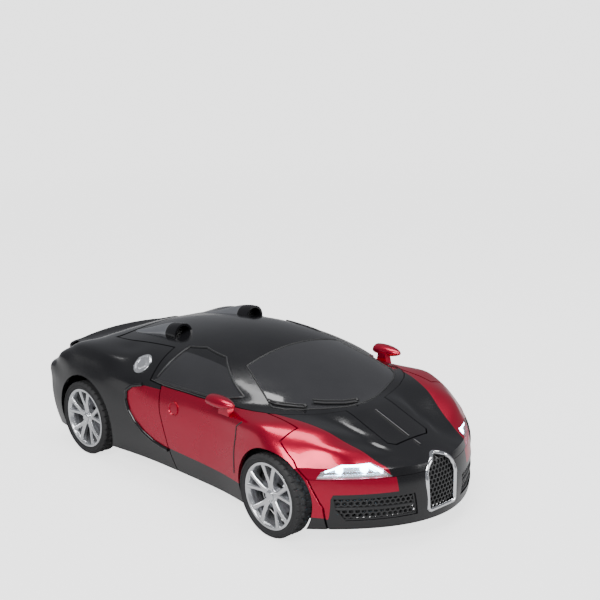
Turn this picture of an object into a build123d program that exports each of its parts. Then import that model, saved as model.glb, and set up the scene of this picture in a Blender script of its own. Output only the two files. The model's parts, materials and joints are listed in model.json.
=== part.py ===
from build123d import *
import math
import os

import numpy as np

# Transforming toy car, stored as a car. +X is the car's nose, +Y its left side, +Z up.
# The origin is on the ground, under the middle of the car. All sizes are millimetres.

os.makedirs("parts", exist_ok=True)

# ---------------------------------------------------------------- driving dimensions
NOSE_X = 130.0            # foremost point of the bumper
TAIL_X = -130.0           # rearmost point of the tail
GROUND_GAP = 9.0          # underside of the painted body
FRONT_AXLE_X = 75.0
REAR_AXLE_X = -78.0
WHEEL_R = 20.5
TYRE_W = 11.0
WHEEL_OUT_Y = 62.0        # outer face of each tyre
SKIN = 2.0                # thickness of the body panels
SEAM = 0.8                # gap between panels that part from each other

LIFT_X, LIFT_Z = -70.0, 60.0        # hinge that lifts the torso
LEVEL_X, LEVEL_Z = 76.0, 44.0       # shoulder axis, on which the chest stays level
FOOT_X, FOOT_Z = -12.0, 7.5         # hinge of the foot plate

WALL_IN, WALL_OUT = 38.5, 41.0      # inner walls of the rear base
TORSO_Y = 36.2                      # half width of the legs
NECK_Y = 26.0                       # half width of the neck block
TORSO_REAR_X = -56.0                # knee end of the torso
BELLY_TOP_X = 34.0                  # upper end of the belly armour
ROOF_REAR_X = -76.6                 # rear edge of the panel that lifts with the torso
ROOF_STRIP_Y = 36.2                 # half width of the lifting panel behind the cabin
PILLAR_X = -24.4                    # rear edge of the cabin sides
FLAP_Y, FLAP_X = 13.2, 109.2        # half width and front edge of the flap behind the head
ARM_IN_Y = 46.95                    # inner edge of the arm panels
RUNNING = 0.06                      # radial clearance of everything that turns


# ---------------------------------------------------------------- the body's outer surface
def smooth_curve(xs, ys):
    """Natural cubic spline through hand-set stations, as a function."""
    x = np.array(xs, float)
    y = np.array(ys, float)
    h = np.diff(x)
    n = len(x)
    a = np.eye(n)
    b = np.zeros(n)
    for i in range(1, n - 1):
        a[i, i - 1], a[i, i], a[i, i + 1] = h[i - 1], 2 * (h[i - 1] + h[i]), h[i]
        b[i] = 3 * ((y[i + 1] - y[i]) / h[i] - (y[i] - y[i - 1]) / h[i - 1])
    c = np.linalg.solve(a, b)

    def value(q):
        q = min(max(q, x[0]), x[-1])
        i = min(max(int(np.searchsorted(x, q)) - 1, 0), n - 2)
        d = q - x[i]
        slope = (y[i + 1] - y[i]) / h[i] - h[i] * (2 * c[i] + c[i + 1]) / 3
        return y[i] + slope * d + c[i] * d * d + (c[i + 1] - c[i]) / (3 * h[i]) * d ** 3

    return value


side_y = smooth_curve(      # widest half width along the car
    [-132, -118, -100, -78, -55, -35, -10, 15, 38, 57, 75, 92, 110, 132],
    [52.0, 57.0, 60.6, 62.0, 60.4, 58.2, 57.2, 57.2, 58.0, 60.4, 62.0, 60.8, 57.0, 52.0])
shoulder_z = smooth_curve(  # top of the door and of the rear haunch
    [-132, -120, -108, -95, -80, -64, -50, -36, -22, 0, 30, 60, 80],
    [37.0, 44.0, 51.5, 58.0, 61.5, 60.8, 57.5, 53.5, 51.3, 51.6, 52.6, 53.6, 53.6])
roof_z = smooth_curve(      # centre line of windscreen, roof and rear deck
    [-132, -118, -105, -90, -76, -50, -28, -8, 10, 28, 45, 60, 70, 77, 84],
    [43.0, 49.3, 55.5, 61.4, 65.4, 70.9, 74.0, 75.3, 74.4, 71.2, 65.6, 59.2, 54.6, 51.6, 49.0])
cabin_y = smooth_curve(     # half width of the cabin at its lower edge
    [-132, -118, -95, -76, -50, -25, 0, 28, 45, 60, 68, 74, 78, 84],
    [40.0, 44.0, 49.6, 52.4, 53.2, 52.8, 52.6, 52.0, 50.2, 46.0, 39.5, 28.0, 16.0, 4.0])
hood_z = smooth_curve(      # centre of the hood against distance behind the nose
    [-20, 0, 5, 10, 20, 30, 47, 56, 80], [29.0, 35.5, 37.2, 38.7, 41.8, 45.2, 50.6, 51.6, 51.6])
fender_z = smooth_curve(    # top of the front fender against distance behind the nose
    [-20, -5, 0, 5, 9, 14, 20, 30, 45, 80], [22.0, 31.0, 35.0, 39.8, 43.2, 47.0, 50.0, 52.4, 53.4, 53.6])

NOSE_BOW = 0.0106         # the nose runs back with the square of y
TAIL_BOW = 0.0045
CABIN_BASE_Z = 50.0
SHOULDER_R = 5.0          # rounding where the sides turn into the top


def smooth_max(a, b, r):
    """Larger of two distances, rounded over r."""
    h = max(r - abs(a - b), 0.0) / r
    return max(a, b) + h * h * r / 4


def smooth_min(a, b, r):
    return -smooth_max(-a, -b, r)


def ramp(v, low, high):
    t = min(max((v - low) / (high - low), 0.0), 1.0)
    return t * t * (3 - 2 * t)


def body(x, y, z):
    """Signed distance, near enough, from the outer skin of the car."""
    y = abs(y)
    tuck = 2.6 * (max(26 - z, 0) / 17) ** 2 + 2.4 * (max(z - 31, 0) / 20) ** 2
    side = y - (side_y(x) - tuck)
    behind = NOSE_X - NOSE_BOW * y * y - x
    over = ramp(y, 20, 45)
    front_top = hood_z(behind) * (1 - over) + fender_z(behind) * over
    joined = ramp(x, 58, 80)
    top = z - (shoulder_z(x) * (1 - joined) + front_top * joined)
    lower = smooth_max(side, top, SHOULDER_R)
    height = max(roof_z(x) - CABIN_BASE_Z, 0.5)
    width = cabin_y(x)
    up = max(z - CABIN_BASE_Z, 0.0)
    lean = 1.9
    ring = ((y / width) ** lean + (up / height) ** lean) ** (1 / lean)
    cabin = (ring - 1) * min(width, height) if up > 0 else y - width
    return smooth_min(lower, max(cabin, (x - 83) * 0.5), 2.5)


def section(x, inset, floor):
    """Closed cross-section of the body at x, inset from the outer skin and open flat at its floor."""
    centre_z = 30.0

    def reach(angle):
        low, high = 2.0, 75.0
        for _ in range(26):
            mid = (low + high) / 2
            y, z = mid * math.cos(angle), centre_z + mid * math.sin(angle)
            if body(x, y, z) + inset < 0:
                low = mid
            else:
                high = mid
        return low

    sill = 0.0
    for _ in range(30):     # the angle at which the skin meets the floor
        r = reach(sill)
        sill = math.asin(max(-1.0, min(1.0, (floor - centre_z) / r)))
    count = 17
    half = []
    for i in range(count):
        angle = sill + (math.pi / 2 - sill) * i / (count - 1)
        r = reach(angle)
        half.append((r * math.cos(angle), centre_z + r * math.sin(angle)))
    half[-1] = (0.0, half[-1][1])
    points = half + [(-y, z) for y, z in half[-2::-1]]
    corners = [Vector(x, y, z) for y, z in points]
    edge = Edge.make_spline(corners, parameters=[i / (len(corners) - 1) for i in range(len(corners))])
    base = Edge.make_line(corners[-1], corners[0])
    return Wire([edge, base])


STATIONS = [-132, -124, -114, -104, -94, -84, -72, -58, -44, -30, -14, 4, 22, 38, 50, 60,
            68, 75, 82, 90, 97, 104, 111, 118, 125, 132]


def nose_x(y, z):
    return NOSE_X - NOSE_BOW * y * y - 0.011 * (z - 20) ** 2


def tail_x(y, z):
    return TAIL_X + TAIL_BOW * y * y + 0.008 * (z - 38) ** 2


def end_block(edge_x, inset, back):
    """Everything on the inner side of the bowed nose or tail."""
    rows = []
    for z in (-8, 4, 14, 24, 34, 44, 56, 80):
        bow = [Vector(edge_x(y, z) + inset, y, z) for y in (-66, -44, -22, 0, 22, 44, 66)]
        ends = [bow[-1], Vector(back, 66, z), Vector(back, -66, z), bow[0]]
        rows.append(Wire([Edge.make_spline(bow, parameters=[i / 6 for i in range(7)])] + [Edge.make_line(p, q) for p, q in zip(ends, ends[1:])]))
    return Solid.make_loft(rows)


def body_loft(inset, floor):
    loft = Solid.make_loft([section(x, inset, floor) for x in STATIONS])
    return loft & end_block(nose_x, -inset, -140) & end_block(tail_x, inset, 140)


# ---------------------------------------------------------------- small helpers
def block(x0, x1, y0, y1, z0, z1):
    return Pos((x0 + x1) / 2, (y0 + y1) / 2, (z0 + z1) / 2) * Box(abs(x1 - x0), abs(y1 - y0), abs(z1 - z0))


def both(shape):
    """A piece and its mirror image on the other side of the car."""
    return Compound([shape, shape.mirror(Plane.XZ)])


def rod_y(x, z, r, y0, y1):
    return Pos(x, (y0 + y1) / 2, z) * Rot(90, 0, 0) * Cylinder(r, abs(y1 - y0))


def plate_y(points, y0, y1):
    """Outline in x and z, extruded along y."""
    face = Face(Wire.make_polygon([Vector(x, y0, z) for x, z in points], close=True))
    return Solid.extrude(face, Vector(0, y1 - y0, 0))


def plate_z(points, z0, z1):
    face = Face(Wire.make_polygon([Vector(x, y, z0) for x, y in points], close=True))
    return Solid.extrude(face, Vector(0, 0, z1 - z0))


def plate_x(points, x0, x1):
    face = Face(Wire.make_polygon([Vector(x0, y, z) for y, z in points], close=True))
    return Solid.extrude(face, Vector(x1 - x0, 0, 0))


def turned_gear(teeth, module, phase, y0, y1, x, z):
    """Involute gear lying in the XZ plane; phase is the direction of its first tooth, degrees."""
    pressure = math.radians(25)
    pitch = teeth * module / 2
    base, tip, root = pitch * math.cos(pressure), pitch + 0.85 * module, pitch - 1.1 * module
    slack = 0.10 * module
    half = (math.pi * module / 2 - slack) / (2 * pitch)
    inv = math.tan(pressure) - pressure

    def flank(r):
        roll = math.acos(min(base / r, 1.0))
        return half + inv - (math.tan(roll) - roll)

    radii = [max(base, root)] + [pitch - 0.4 * module, pitch, pitch + 0.45 * module, tip]
    radii = [r for i, r in enumerate(radii) if i == 0 or r > radii[0] + 0.01]
    points = []
    for tooth in range(teeth):
        mid = math.radians(phase) + 2 * math.pi * tooth / teeth
        side = [(root, flank(radii[0]))] if root < radii[0] - 0.01 else []
        side += [(r, flank(r)) for r in radii]
        for r, a in side:
            points.append((x + r * math.cos(mid - a), z + r * math.sin(mid - a)))
        for r, a in reversed(side):
            points.append((x + r * math.cos(mid + a), z + r * math.sin(mid + a)))
    return plate_y(points, y0, y1)


def rod_x(y, z, r, x0, x1):
    return Pos((x0 + x1) / 2, y, z) * Rot(0, 90, 0) * Cylinder(r, abs(x1 - x0))


def save(name, shape):
    solids = [solid for solid in shape.solids() if solid.volume > 2]      # without specks cut off at the seams
    whole = solids[0] if len(solids) == 1 else Compound(solids)
    whole.label = name
    export_step(whole, f"parts/{name}.step")


# ---------------------------------------------------------------- body shell and its dividing lines
outer = body_loft(0.0, GROUND_GAP)
inner = body_loft(SKIN, -5.0)
shell = outer - inner
for side in (1, -1):
    shell -= rod_y(FRONT_AXLE_X, WHEEL_R, WHEEL_R + 2.8, side * 46, side * 70)
    shell -= rod_y(REAR_AXLE_X, WHEEL_R, WHEEL_R + 3.8, side * 43, side * 70)


def cabin_plan(grow, rear):
    side = [(x, cabin_y(x) + grow) for x in (rear, -5, 15, 28, 38, 46, 53, 60, 65, 69, 73, 76, 79, 82)]
    return side + [(84 + grow, 0)] + [(x, -y) for x, y in reversed(side)]


DOOR_REAR = [(-15.0, 80), (-15.0, 53), (-13.0, 39.5), (-7.7, 25), (-0.8, 5)]
ARCH_FRONT = [(102.6, 5), (101.6, 19.7), (99.3, 25), (95.6, 33), (88.6, 41), (79.3, 48), (81.6, 58), (81.6, 80)]
arm_side = DOOR_REAR + ARCH_FRONT
base_side = [(-140, 80)] + [(x - SEAM, z) for x, z in DOOR_REAR] + [(-140, 5)]
nose_side = [(140, 5)] + [(x + SEAM, z) for x, z in ARCH_FRONT] + [(140, 80)]

roof_zone = plate_z(cabin_plan(0.1, PILLAR_X), 45, 90)
strip_zone = block(ROOF_REAR_X, PILLAR_X + 0.01, -ROOF_STRIP_Y, ROOF_STRIP_Y, 55, 90)
keep_off_roof = plate_z(cabin_plan(0.1 + 0.6, PILLAR_X - SEAM), 45, 90)
keep_off_strip = block(-78.9, PILLAR_X, -ROOF_STRIP_Y - 0.7, ROOF_STRIP_Y + 0.7, 55, 90)

# ---------------------------------------------------------------- torso: the cabin skin
cabin = shell & (roof_zone + strip_zone)
screen_plan = [(27, 31), (45, 37.5), (57, 41.5), (63, 38), (68, 32), (73, 21), (77.5, 10), (79, 0)]
screen_plan += [(x, -y) for x, y in screen_plan[-2::-1]]
screen_zone = plate_z(screen_plan, 45, 90)
window_side = [(-21, 53.4), (28, 54.6), (41, 57), (13, 68.6), (-4, 70), (-15, 68.8)]
window_zone = plate_y(window_side, 37.5, 60) + plate_y(window_side, -60, -37.5)
windshield = cabin & screen_zone
side_windows = cabin & window_zone
roof_shell = cabin - screen_zone - window_zone


def flap_plan(grow, rear):
    side = [(rear, FLAP_Y + grow), (FLAP_X - 2.8 + grow, FLAP_Y + grow), (FLAP_X + grow * 1.6, FLAP_Y - 2.8 + grow * 0.6)]
    return side + [(x, -y) for x, y in reversed(side)]


flap = (shell & plate_z(flap_plan(0, 79), 30, 60)) - plate_z(cabin_plan(0.1, PILLAR_X), 30, 90)


def oval(x, y, z, wide, high):
    return Wire([Edge.make_ellipse(wide, high, plane=Plane((x, y, z), x_dir=(0, 1, 0), z_dir=(-1, 0, 0)))])


scoop = Solid.make_loft([oval(x, 25, z, wide, high) for x, z, wide, high in
                         ((-32, 69.8, 6.0, 6.2), (-44, 68.9, 5.5, 5.2), (-56, 66.8, 4.3, 3.4), (-66, 64.9, 2.9, 1.9), (-74, 63.6, 1.4, 0.9))])
scoop -= Solid.make_loft([oval(x, 25, z, wide, high) for x, z, wide, high in ((-31, 69.8, 5.0, 5.2), (-40, 69.2, 4.2, 3.6))])
scoop -= outer
save("roof_shell", roof_shell)
save("windshield", windshield)
save("side_windows", side_windows)
save("hood_flap", flap)
save("air_scoops", both(scoop))

# torso: the leg and neck tubs, hinge ears and armour
WALL = 2.4
CORE_BOTTOM, CORE_TOP = 16.0, 48.6
WAIST_Y = 28.5              # half width of the waist
GROOVE_X, GROOVE_Y, GROOVE_Z = -22.0, 7.6, 20.5        # groove that parts the legs


def legs_plan(inset):
    side = [(TORSO_REAR_X + inset, TORSO_Y - inset), (-21 - inset / 2, TORSO_Y - inset), (-14.5 - inset / 2, WAIST_Y - inset),
            (-2, WAIST_Y - inset), (12, 32.5 - inset), (BELLY_TOP_X - inset, TORSO_Y - inset)]
    return side + [(x, -y) for x, y in reversed(side)]


core = plate_z(legs_plan(0), CORE_BOTTOM, CORE_TOP) - block(TORSO_REAR_X - 1, GROOVE_X, -GROOVE_Y, GROOVE_Y, 10, GROOVE_Z)
core += block(BELLY_TOP_X - 1, 74, -NECK_Y, NECK_Y, 24, CORE_TOP)
core -= (plate_z(legs_plan(WALL), CORE_BOTTOM + WALL, 60)
         - block(TORSO_REAR_X - 1, GROOVE_X + WALL, -GROOVE_Y - WALL, GROOVE_Y + WALL, 10, GROOVE_Z + WALL))
core -= block(BELLY_TOP_X - 4, 74 - WALL, -NECK_Y + WALL, NECK_Y - WALL, 24 + WALL, 60)
for y in (-22, 22):         # rails that carry the control board
    core += block(-50, 28, y - 2, y + 2, CORE_BOTTOM + WALL - 0.2, 30)
for x, y in ((-50.5, 31), (-50.5, -31), (20, 31), (20, -31)):      # posts up to the roof skin
    core += Pos(x, y, 50) * Cylinder(2.6, 66) & inner & block(-80, 80, -60, 60, CORE_BOTTOM + 1, 80)
LEVEL_AXLE_R = 4.0
for y in (-NECK_Y, NECK_Y - WALL):
    core += rod_y(LEVEL_X, LEVEL_Z, 4.8, y, y + WALL)
core -= rod_y(LEVEL_X, LEVEL_Z, LEVEL_AXLE_R, -40, 40)
HEAD_Z = 30.5
NECK_PIN_R = 2.5
core += rod_x(0, HEAD_Z, NECK_PIN_R, 72, 88)
PIN_R = 1.2
EAR_R = 3.3
ear = plate_y([(TORSO_REAR_X + 1, 46), (TORSO_REAR_X + 1, 61.5), (-64, 62.5), (LIFT_X, LIFT_Z + EAR_R), (LIFT_X, LIFT_Z - EAR_R)], 13, 17)
ear += rod_y(LIFT_X, LIFT_Z, EAR_R, 13, 17)
core += ear + ear.mirror(Plane.XZ)
core -= rod_y(LIFT_X, LIFT_Z, PIN_R + RUNNING, -20, 20)
save("torso_core", core)

belly_plan = [(3, 17.5), (9, 24.5), (25, 28), (30, 30), (BELLY_TOP_X, 30)]
save("belly_armor", plate_z(belly_plan + [(x, -y) for x, y in reversed(belly_plan)], 12.6, CORE_BOTTOM))
waist_plan = [(-15, 4), (-11.5, 10), (-11.5, 31), (-2, 33.5), (2.2, 27)]
save("waist_plate", plate_z(waist_plan + [(x, -y) for x, y in reversed(waist_plan)], 12.6, CORE_BOTTOM))
save("knee_armor", both(block(-51, -17, 9, 33, 12.6, CORE_BOTTOM)))
save("knee_caps", both(block(-56, -51.8, 9, 33, 12.6, CORE_BOTTOM)))
save("control_board", block(-47, 26, -24.5, 24.5, 30, 31.6))
save("speaker", Pos(-3, 0, CORE_BOTTOM + WALL + 2.5) * (Cylinder(15, 5) + Pos(0, 0, 3.5) * Cylinder(9, 2)))
save("shoulder_tube", rod_y(LEVEL_X, LEVEL_Z, LEVEL_AXLE_R, -33, 33) - rod_y(LEVEL_X, LEVEL_Z, 3.2, -34, 34))

LIFT_MODULE, LIFT_TEETH, LIFT_PINION_TEETH = 0.8, 30, 10
MESH_ANGLE = 285.0
mesh_reach = LIFT_MODULE * (LIFT_TEETH + LIFT_PINION_TEETH) / 2
PINION_X = LIFT_X + mesh_reach * math.cos(math.radians(MESH_ANGLE))
PINION_Z = LIFT_Z + mesh_reach * math.sin(math.radians(MESH_ANGLE))
sector_fan = [(LIFT_X, LIFT_Z)] + [(LIFT_X + 20 * math.cos(math.radians(a)), LIFT_Z + 20 * math.sin(math.radians(a)))
                                   for a in (184, 210, 240, 270, 304)]
sector = turned_gear(LIFT_TEETH, LIFT_MODULE, MESH_ANGLE, -4, 4, LIFT_X, LIFT_Z) & plate_y(sector_fan, -5, 5)
sector += rod_y(LIFT_X, LIFT_Z, EAR_R, -4, 4) + block(-69, TORSO_REAR_X, -4, 4, 54, 60)
sector -= rod_y(LIFT_X, LIFT_Z, PIN_R + RUNNING, -6, 6)
save("sector_gear", sector)

# ---------------------------------------------------------------- head, folded face down under the flap
HEAD_R = 10.0
head = rod_x(0, HEAD_Z, HEAD_R, 81.5, 108) & rod_y(LEVEL_X, LEVEL_Z, 33.6, -12, 12)
head -= rod_x(0, HEAD_Z, NECK_PIN_R + RUNNING, 80, 89)
face_zone = block(84, 102, -6.5, 6.5, 15, 26.5)
save("helmet", head - face_zone)
save("face_plate", head & face_zone)

# ---------------------------------------------------------------- chest: hood and nose
nose = shell & block(50, 135, -ARM_IN_Y + SEAM, ARM_IN_Y - SEAM, 5, 80)
for side in (1, -1):
    nose += shell & plate_y(nose_side, side * (ARM_IN_Y - SEAM - 0.01), side * 70)
nose -= keep_off_roof
nose -= plate_z(flap_plan(0.5, 70), 30, 60)
nose -= both(rod_y(LEVEL_X, LEVEL_Z, 5.25, 23.2, 30.4))
nose &= block(56, 135, -70, 70, 5, 80)


def arch(half, low, high, x0, x1):
    """Pointed-shoulder arch of the grille, as a prism along x."""
    r = half
    points = [(-half, low + 2), (-half + 2, low), (half - 2, low), (half, low + 2), (half, high - r)]
    points += [(r * math.cos(a), high - r + r * math.sin(a)) for a in (math.pi / 6, math.pi / 3, math.pi / 2, 2 * math.pi / 3, 5 * math.pi / 6)]
    points += [(-half, high - r)]
    return plate_x(points, x0, x1)


ring_zone = arch(11.5, 11.5, 40, 108, 132)
mesh_zone = arch(9.0, 14, 37.5, 107, 133)
intake_outline = [(16.5, 24.4), (48, 24.4), (47.5, 19), (44, 13.4), (15, 13.6)]
intake_zone = plate_x(intake_outline, 98, 132) + plate_x([(-y, z) for y, z in intake_outline], 98, 132)
lamp_outline = [(25.5, 33.4), (30.5, 39.2), (43, 39.6), (50.5, 36.6), (52.5, 33.4)]
lamp_zone = plate_x(lamp_outline, 98, 128) + plate_x([(-y, z) for y, z in lamp_outline], 98, 128)
save("grille_ring", (nose & ring_zone) - mesh_zone)
save("grille_meshes", nose & (mesh_zone + intake_zone))
save("headlights", nose & lamp_zone)
nose -= ring_zone + intake_zone + lamp_zone
HOOD_LINE = 33.2
save("hood", nose & block(50, 135, -70, 70, HOOD_LINE, 80))
save("front_bumper", nose & block(50, 135, -70, 70, 5, HOOD_LINE - 0.2))

bracket = plate_y([(76, 48.6), (84, 45.0), (110, 36), (116, 32), (116, 13), (106, 13), (86, 28), (76, 38.6)], 27.6, 30)
bracket += rod_y(LEVEL_X, LEVEL_Z, 5.1, 27.6, 30)
bracket -= rod_y(LEVEL_X, LEVEL_Z, LEVEL_AXLE_R + RUNNING, 20, 40)
bracket = bracket + bracket.mirror(Plane.XZ) + block(114.6, 117, -30, 30, 13, 32)
for y in (-22, 22):
    bracket += rod_x(y, 28.5, 2.5, 116, 128) & inner
    bracket += Pos(104, y * 28.8 / 22, 40) * Cylinder(1.2, 8) & inner
save("chest_bracket", bracket)

# ---------------------------------------------------------------- arms: door, fender, sill, fist box, rods
FIST = [(60, 8.6), (88, 8.6), (88, 29), (86.6, 34), (83, 38), (78, 40), (70, 40), (65, 38.2), (61.4, 34.4), (60, 29.4)]
for name, side in (("left", 1), ("right", -1)):
    skin = (shell & plate_y(arm_side, side * ARM_IN_Y, side * 70)) - keep_off_roof
    sill_zone = plate_y([(-20, 4), (110, 4), (110, 14), (50, 19.8), (-20, 21.5)], side * 40, side * 70)
    save(f"arm_panel_{name}", skin - sill_zone)
    save(f"arm_sill_{name}", skin & sill_zone)
    mirror = Solid.make_loft([oval(x, side * 58.0, 57.4, wide, high) for x, wide, high in
                              ((31.4, 3.7, 2.5), (35, 4.1, 2.9), (40, 4.0, 2.8), (44.5, 3.0, 2.1), (48, 0.9, 0.7))])
    mirror += plate_y([(35, 50.6), (43, 50.6), (41.6, 57), (36.4, 57)], side * 53.2, side * 57)
    save(f"mirror_{name}", mirror - outer)
    fist = plate_y(FIST, side * 31.2, side * 46)
    fist -= plate_y([(x * 0.83 + 74 * 0.17, z * 0.85 + 24.6 * 0.15) for x, z in FIST], side * 33.6, side * 50)
    fist += block(72, 80, side * 38.6, side * 46, 37, 47)
    frame = plate_y([(-7, 13), (97, 13), (97, 26), (91.5, 35.4), (87, 40), (36, 40), (-7, 30)], side * 46, side * 48.4)
    fist += frame
    for x, z in ((8, 24), (38, 30)):
        fist += rod_y(x, z, 2.5, side * 47, side * 62) & inner
    fist += rod_y(FRONT_AXLE_X, WHEEL_R, 1.5, side * 46, side * 57.5)
    fist += rod_y(FRONT_AXLE_X, WHEEL_R, 4.0, side * 46, side * 49.5)
    fist -= rod_y(LEVEL_X, LEVEL_Z, 2.0, side * 38, side * 46)
    save(f"fist_box_{name}", fist)
    save(f"arm_rod_{name}", rod_y(LEVEL_X, LEVEL_Z, 2.0, side * 2, side * 46))
    save(f"arm_sleeve_{name}", rod_y(LEVEL_X, LEVEL_Z, 3.1, side * 2, side * 38) - rod_y(LEVEL_X, LEVEL_Z, 2.1, side * 1, side * 39))


# ---------------------------------------------------------------- wheels
RIM_R = 16.7
AXLE_R = 1.5


def tyre(x, side):
    ring = rod_y(x, WHEEL_R, WHEEL_R, side * (WHEEL_OUT_Y - TYRE_W), side * WHEEL_OUT_Y)
    ring = fillet(ring.edges().filter_by(GeomType.CIRCLE), 1.6)
    return ring - rod_y(x, WHEEL_R, RIM_R, -80, 80)


def rim(x, side):
    y0, y1 = side * (WHEEL_OUT_Y - TYRE_W + 0.6), side * (WHEEL_OUT_Y - 0.8)
    barrel = rod_y(x, WHEEL_R, RIM_R, y0, y1) - rod_y(x, WHEEL_R, RIM_R - 1.8, y0 - side, y1 + side)
    spokes = rod_y(x, WHEEL_R, 4.6, y1 - side * 3.4, y1)
    for i in range(5):
        for lean in (-9, 9):
            bar = Pos(9.6, 0, lean / 9 * 2.1) * Rot(0, -lean * 0.7, 0) * Box(13.4, 2.8, 2.2)
            spokes += Pos(x, y1 - side * 1.7, WHEEL_R) * Rot(0, 90 + 72 * i, 0) * bar
    return barrel + (spokes & rod_y(x, WHEEL_R, RIM_R - 0.4, y0, y1))


MOTOR_X = REAR_AXLE_X - 10.0
for name, x, side in (("front_left", FRONT_AXLE_X, 1), ("front_right", FRONT_AXLE_X, -1),
                      ("rear_left", REAR_AXLE_X, 1), ("rear_right", REAR_AXLE_X, -1)):
    wheel = rim(x, side) + rod_y(x, WHEEL_R, 3.0, side * 50.2, side * 58)
    if name.startswith("front"):
        wheel -= rod_y(x, WHEEL_R, AXLE_R + RUNNING, side * 49, side * 57.7)
    else:
        wheel += rod_y(x, WHEEL_R, AXLE_R, side * 21.9, side * 58)
        wheel += turned_gear(30, 0.5, 180, side * 22.2, side * 25.2, x, WHEEL_R)
    save(f"tyre_{name}", tyre(x, side))
    save(f"rim_{name}", wheel)

# ---------------------------------------------------------------- rear base
rear = (shell & plate_y(base_side, -70, 70)) - keep_off_roof - keep_off_strip
insert_outline = [(-36, 47.5), (-40.5, 44.5), (-40.5, 40), (-38, 34.5), (-33.5, 29.5), (-27, 25), (-19, 22), (-11, 20.6), (-4, 20.2),
                  (-6, 25), (-11, 40), (-13, 50.2), (-28, 49.6)]
insert_zone = plate_y(insert_outline, 46, 70) + plate_y(insert_outline, -70, -46)
cap_zone = Pos(-37, 49, 59) * Rot(-45, 0, 0) * Cylinder(5.5, 14)
cap_zone = cap_zone + cap_zone.mirror(Plane.XZ)
light_outline = [(20, 44), (48, 42), (46, 47), (22, 49.5)]
light_zone = plate_x(light_outline, -132, -90) + plate_x([(-y, z) for y, z in light_outline], -132, -90)
save("side_inserts", rear & insert_zone)
save("fuel_caps", rear & cap_zone)
save("tail_lights", rear & light_zone)
rear -= insert_zone + cap_zone + light_zone
tail_zone = block(-135, -108, -70, 70, 5, 41)
deck_zone = block(-135, -78.9, -40, 40, 41, 80)
save("tail_bumper", rear & tail_zone)
save("rear_deck", rear & deck_zone)
fender = rear - tail_zone - deck_zone
save("rear_fender_left", fender & block(-140, 0, 1, 70, 0, 80))
save("rear_fender_right", fender & block(-140, 0, -70, -1, 0, 80))

FLOOR_TOP = 11.5
chassis = block(-122, -18, -WALL_OUT, WALL_OUT, GROUND_GAP, FLOOR_TOP) & inner
wall_outline = [(-112, GROUND_GAP), (-16, GROUND_GAP), (-16, 1.0), (-8, 1.0), (-8, 28), (-26, 46), (-60, 49), (-100, 43), (-112, 34)]
wall = plate_y(wall_outline, WALL_IN, WALL_OUT)
for x, z in ((-46, 40), (-30, 24), (-106, 28)):
    wall += rod_y(x, z, 2.5, WALL_OUT - 0.5, 62) & inner
chassis += wall + wall.mirror(Plane.XZ)
chassis -= rod_y(REAR_AXLE_X, WHEEL_R, AXLE_R + RUNNING, -50, 50)
chassis -= rod_y(FOOT_X, FOOT_Z, 1.5 + RUNNING, -50, 50)
chassis += block(-116, -102, -30, 30, FLOOR_TOP - 0.2, 16) - rod_y(-109, 22.2, 9.2, -40, 40)
for side in (1, -1):
    bearing = block(-98, -70, side * 20.1, side * 21.6, FLOOR_TOP - 0.2, 33)
    bearing -= rod_y(MOTOR_X, WHEEL_R, 3.2, side * 19, side * 23)
    bearing -= rod_y(REAR_AXLE_X, WHEEL_R, 2.2, side * 19, side * 23)
    chassis += bearing
    chassis += block(-93, -83, side * 5, side * 17, FLOOR_TOP - 0.2, 15.5) - rod_y(MOTOR_X, WHEEL_R, 7.6, -40, 40)
SWITCH_Y = 15.0
chassis -= block(-103.6, -96.6, SWITCH_Y - 1.6, SWITCH_Y + 1.6, 5, 12.5)
chassis -= block(-106, -94, SWITCH_Y - 3.4, SWITCH_Y + 3.4, FLOOR_TOP, 13.0)
save("chassis", chassis)
switch = block(-103.4, -100.2, SWITCH_Y - 1.5, SWITCH_Y + 1.5, GROUND_GAP + 0.3, 12)
switch += block(-104.6, -99, SWITCH_Y - 3, SWITCH_Y + 3, FLOOR_TOP + 0.05, 12.6)
save("power_switch", switch)
save("battery_pack", rod_y(-109, 22.2, 9.2, -33, 33))

motors = []
for side in (1, -1):
    motor = rod_y(MOTOR_X, WHEEL_R, 7.6, side * 2, side * 20.1) - rod_y(MOTOR_X, WHEEL_R, 1.0 + RUNNING, side * 15, side * 21)
    motors += motor.solids()
save("drive_motors", Compound(motors))
for name, side in (("left", 1), ("right", -1)):
    pinion = turned_gear(10, 0.5, 18, side * 22.2, side * 25.2, MOTOR_X, WHEEL_R)
    save(f"drive_pinion_{name}", pinion + rod_y(MOTOR_X, WHEEL_R, 1.0, side * 15.5, side * 26))

cheek = plate_y([(-78, FLOOR_TOP), (-59.5, FLOOR_TOP), (-59.5, 50), (LIFT_X + 3.2, LIFT_Z), (LIFT_X, LIFT_Z), (LIFT_X - 2.6, LIFT_Z - 2), (LIFT_X - 2.4, 47), (-78, 41)], 9, 12.4)
cheek += rod_y(LIFT_X, LIFT_Z, EAR_R, 9, 12.4)
cheek -= rod_y(LIFT_X, LIFT_Z, PIN_R, 0, 20) + rod_y(PINION_X, PINION_Z, 1.5 + RUNNING, 0, 20)
gearbox = cheek + cheek.mirror(Plane.XZ) + block(-76, -61, -9.5, 9.5, FLOOR_TOP, 37)
save("lift_gearbox", gearbox)
pinion = turned_gear(LIFT_PINION_TEETH, LIFT_MODULE, MESH_ANGLE - 180 + 18, -5, 5, PINION_X, PINION_Z)
save("lift_pinion", pinion + rod_y(PINION_X, PINION_Z, 1.5, -12, 12))
save("hinge_pin", rod_y(LIFT_X, LIFT_Z, PIN_R, -17.5, 17.5))

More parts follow.
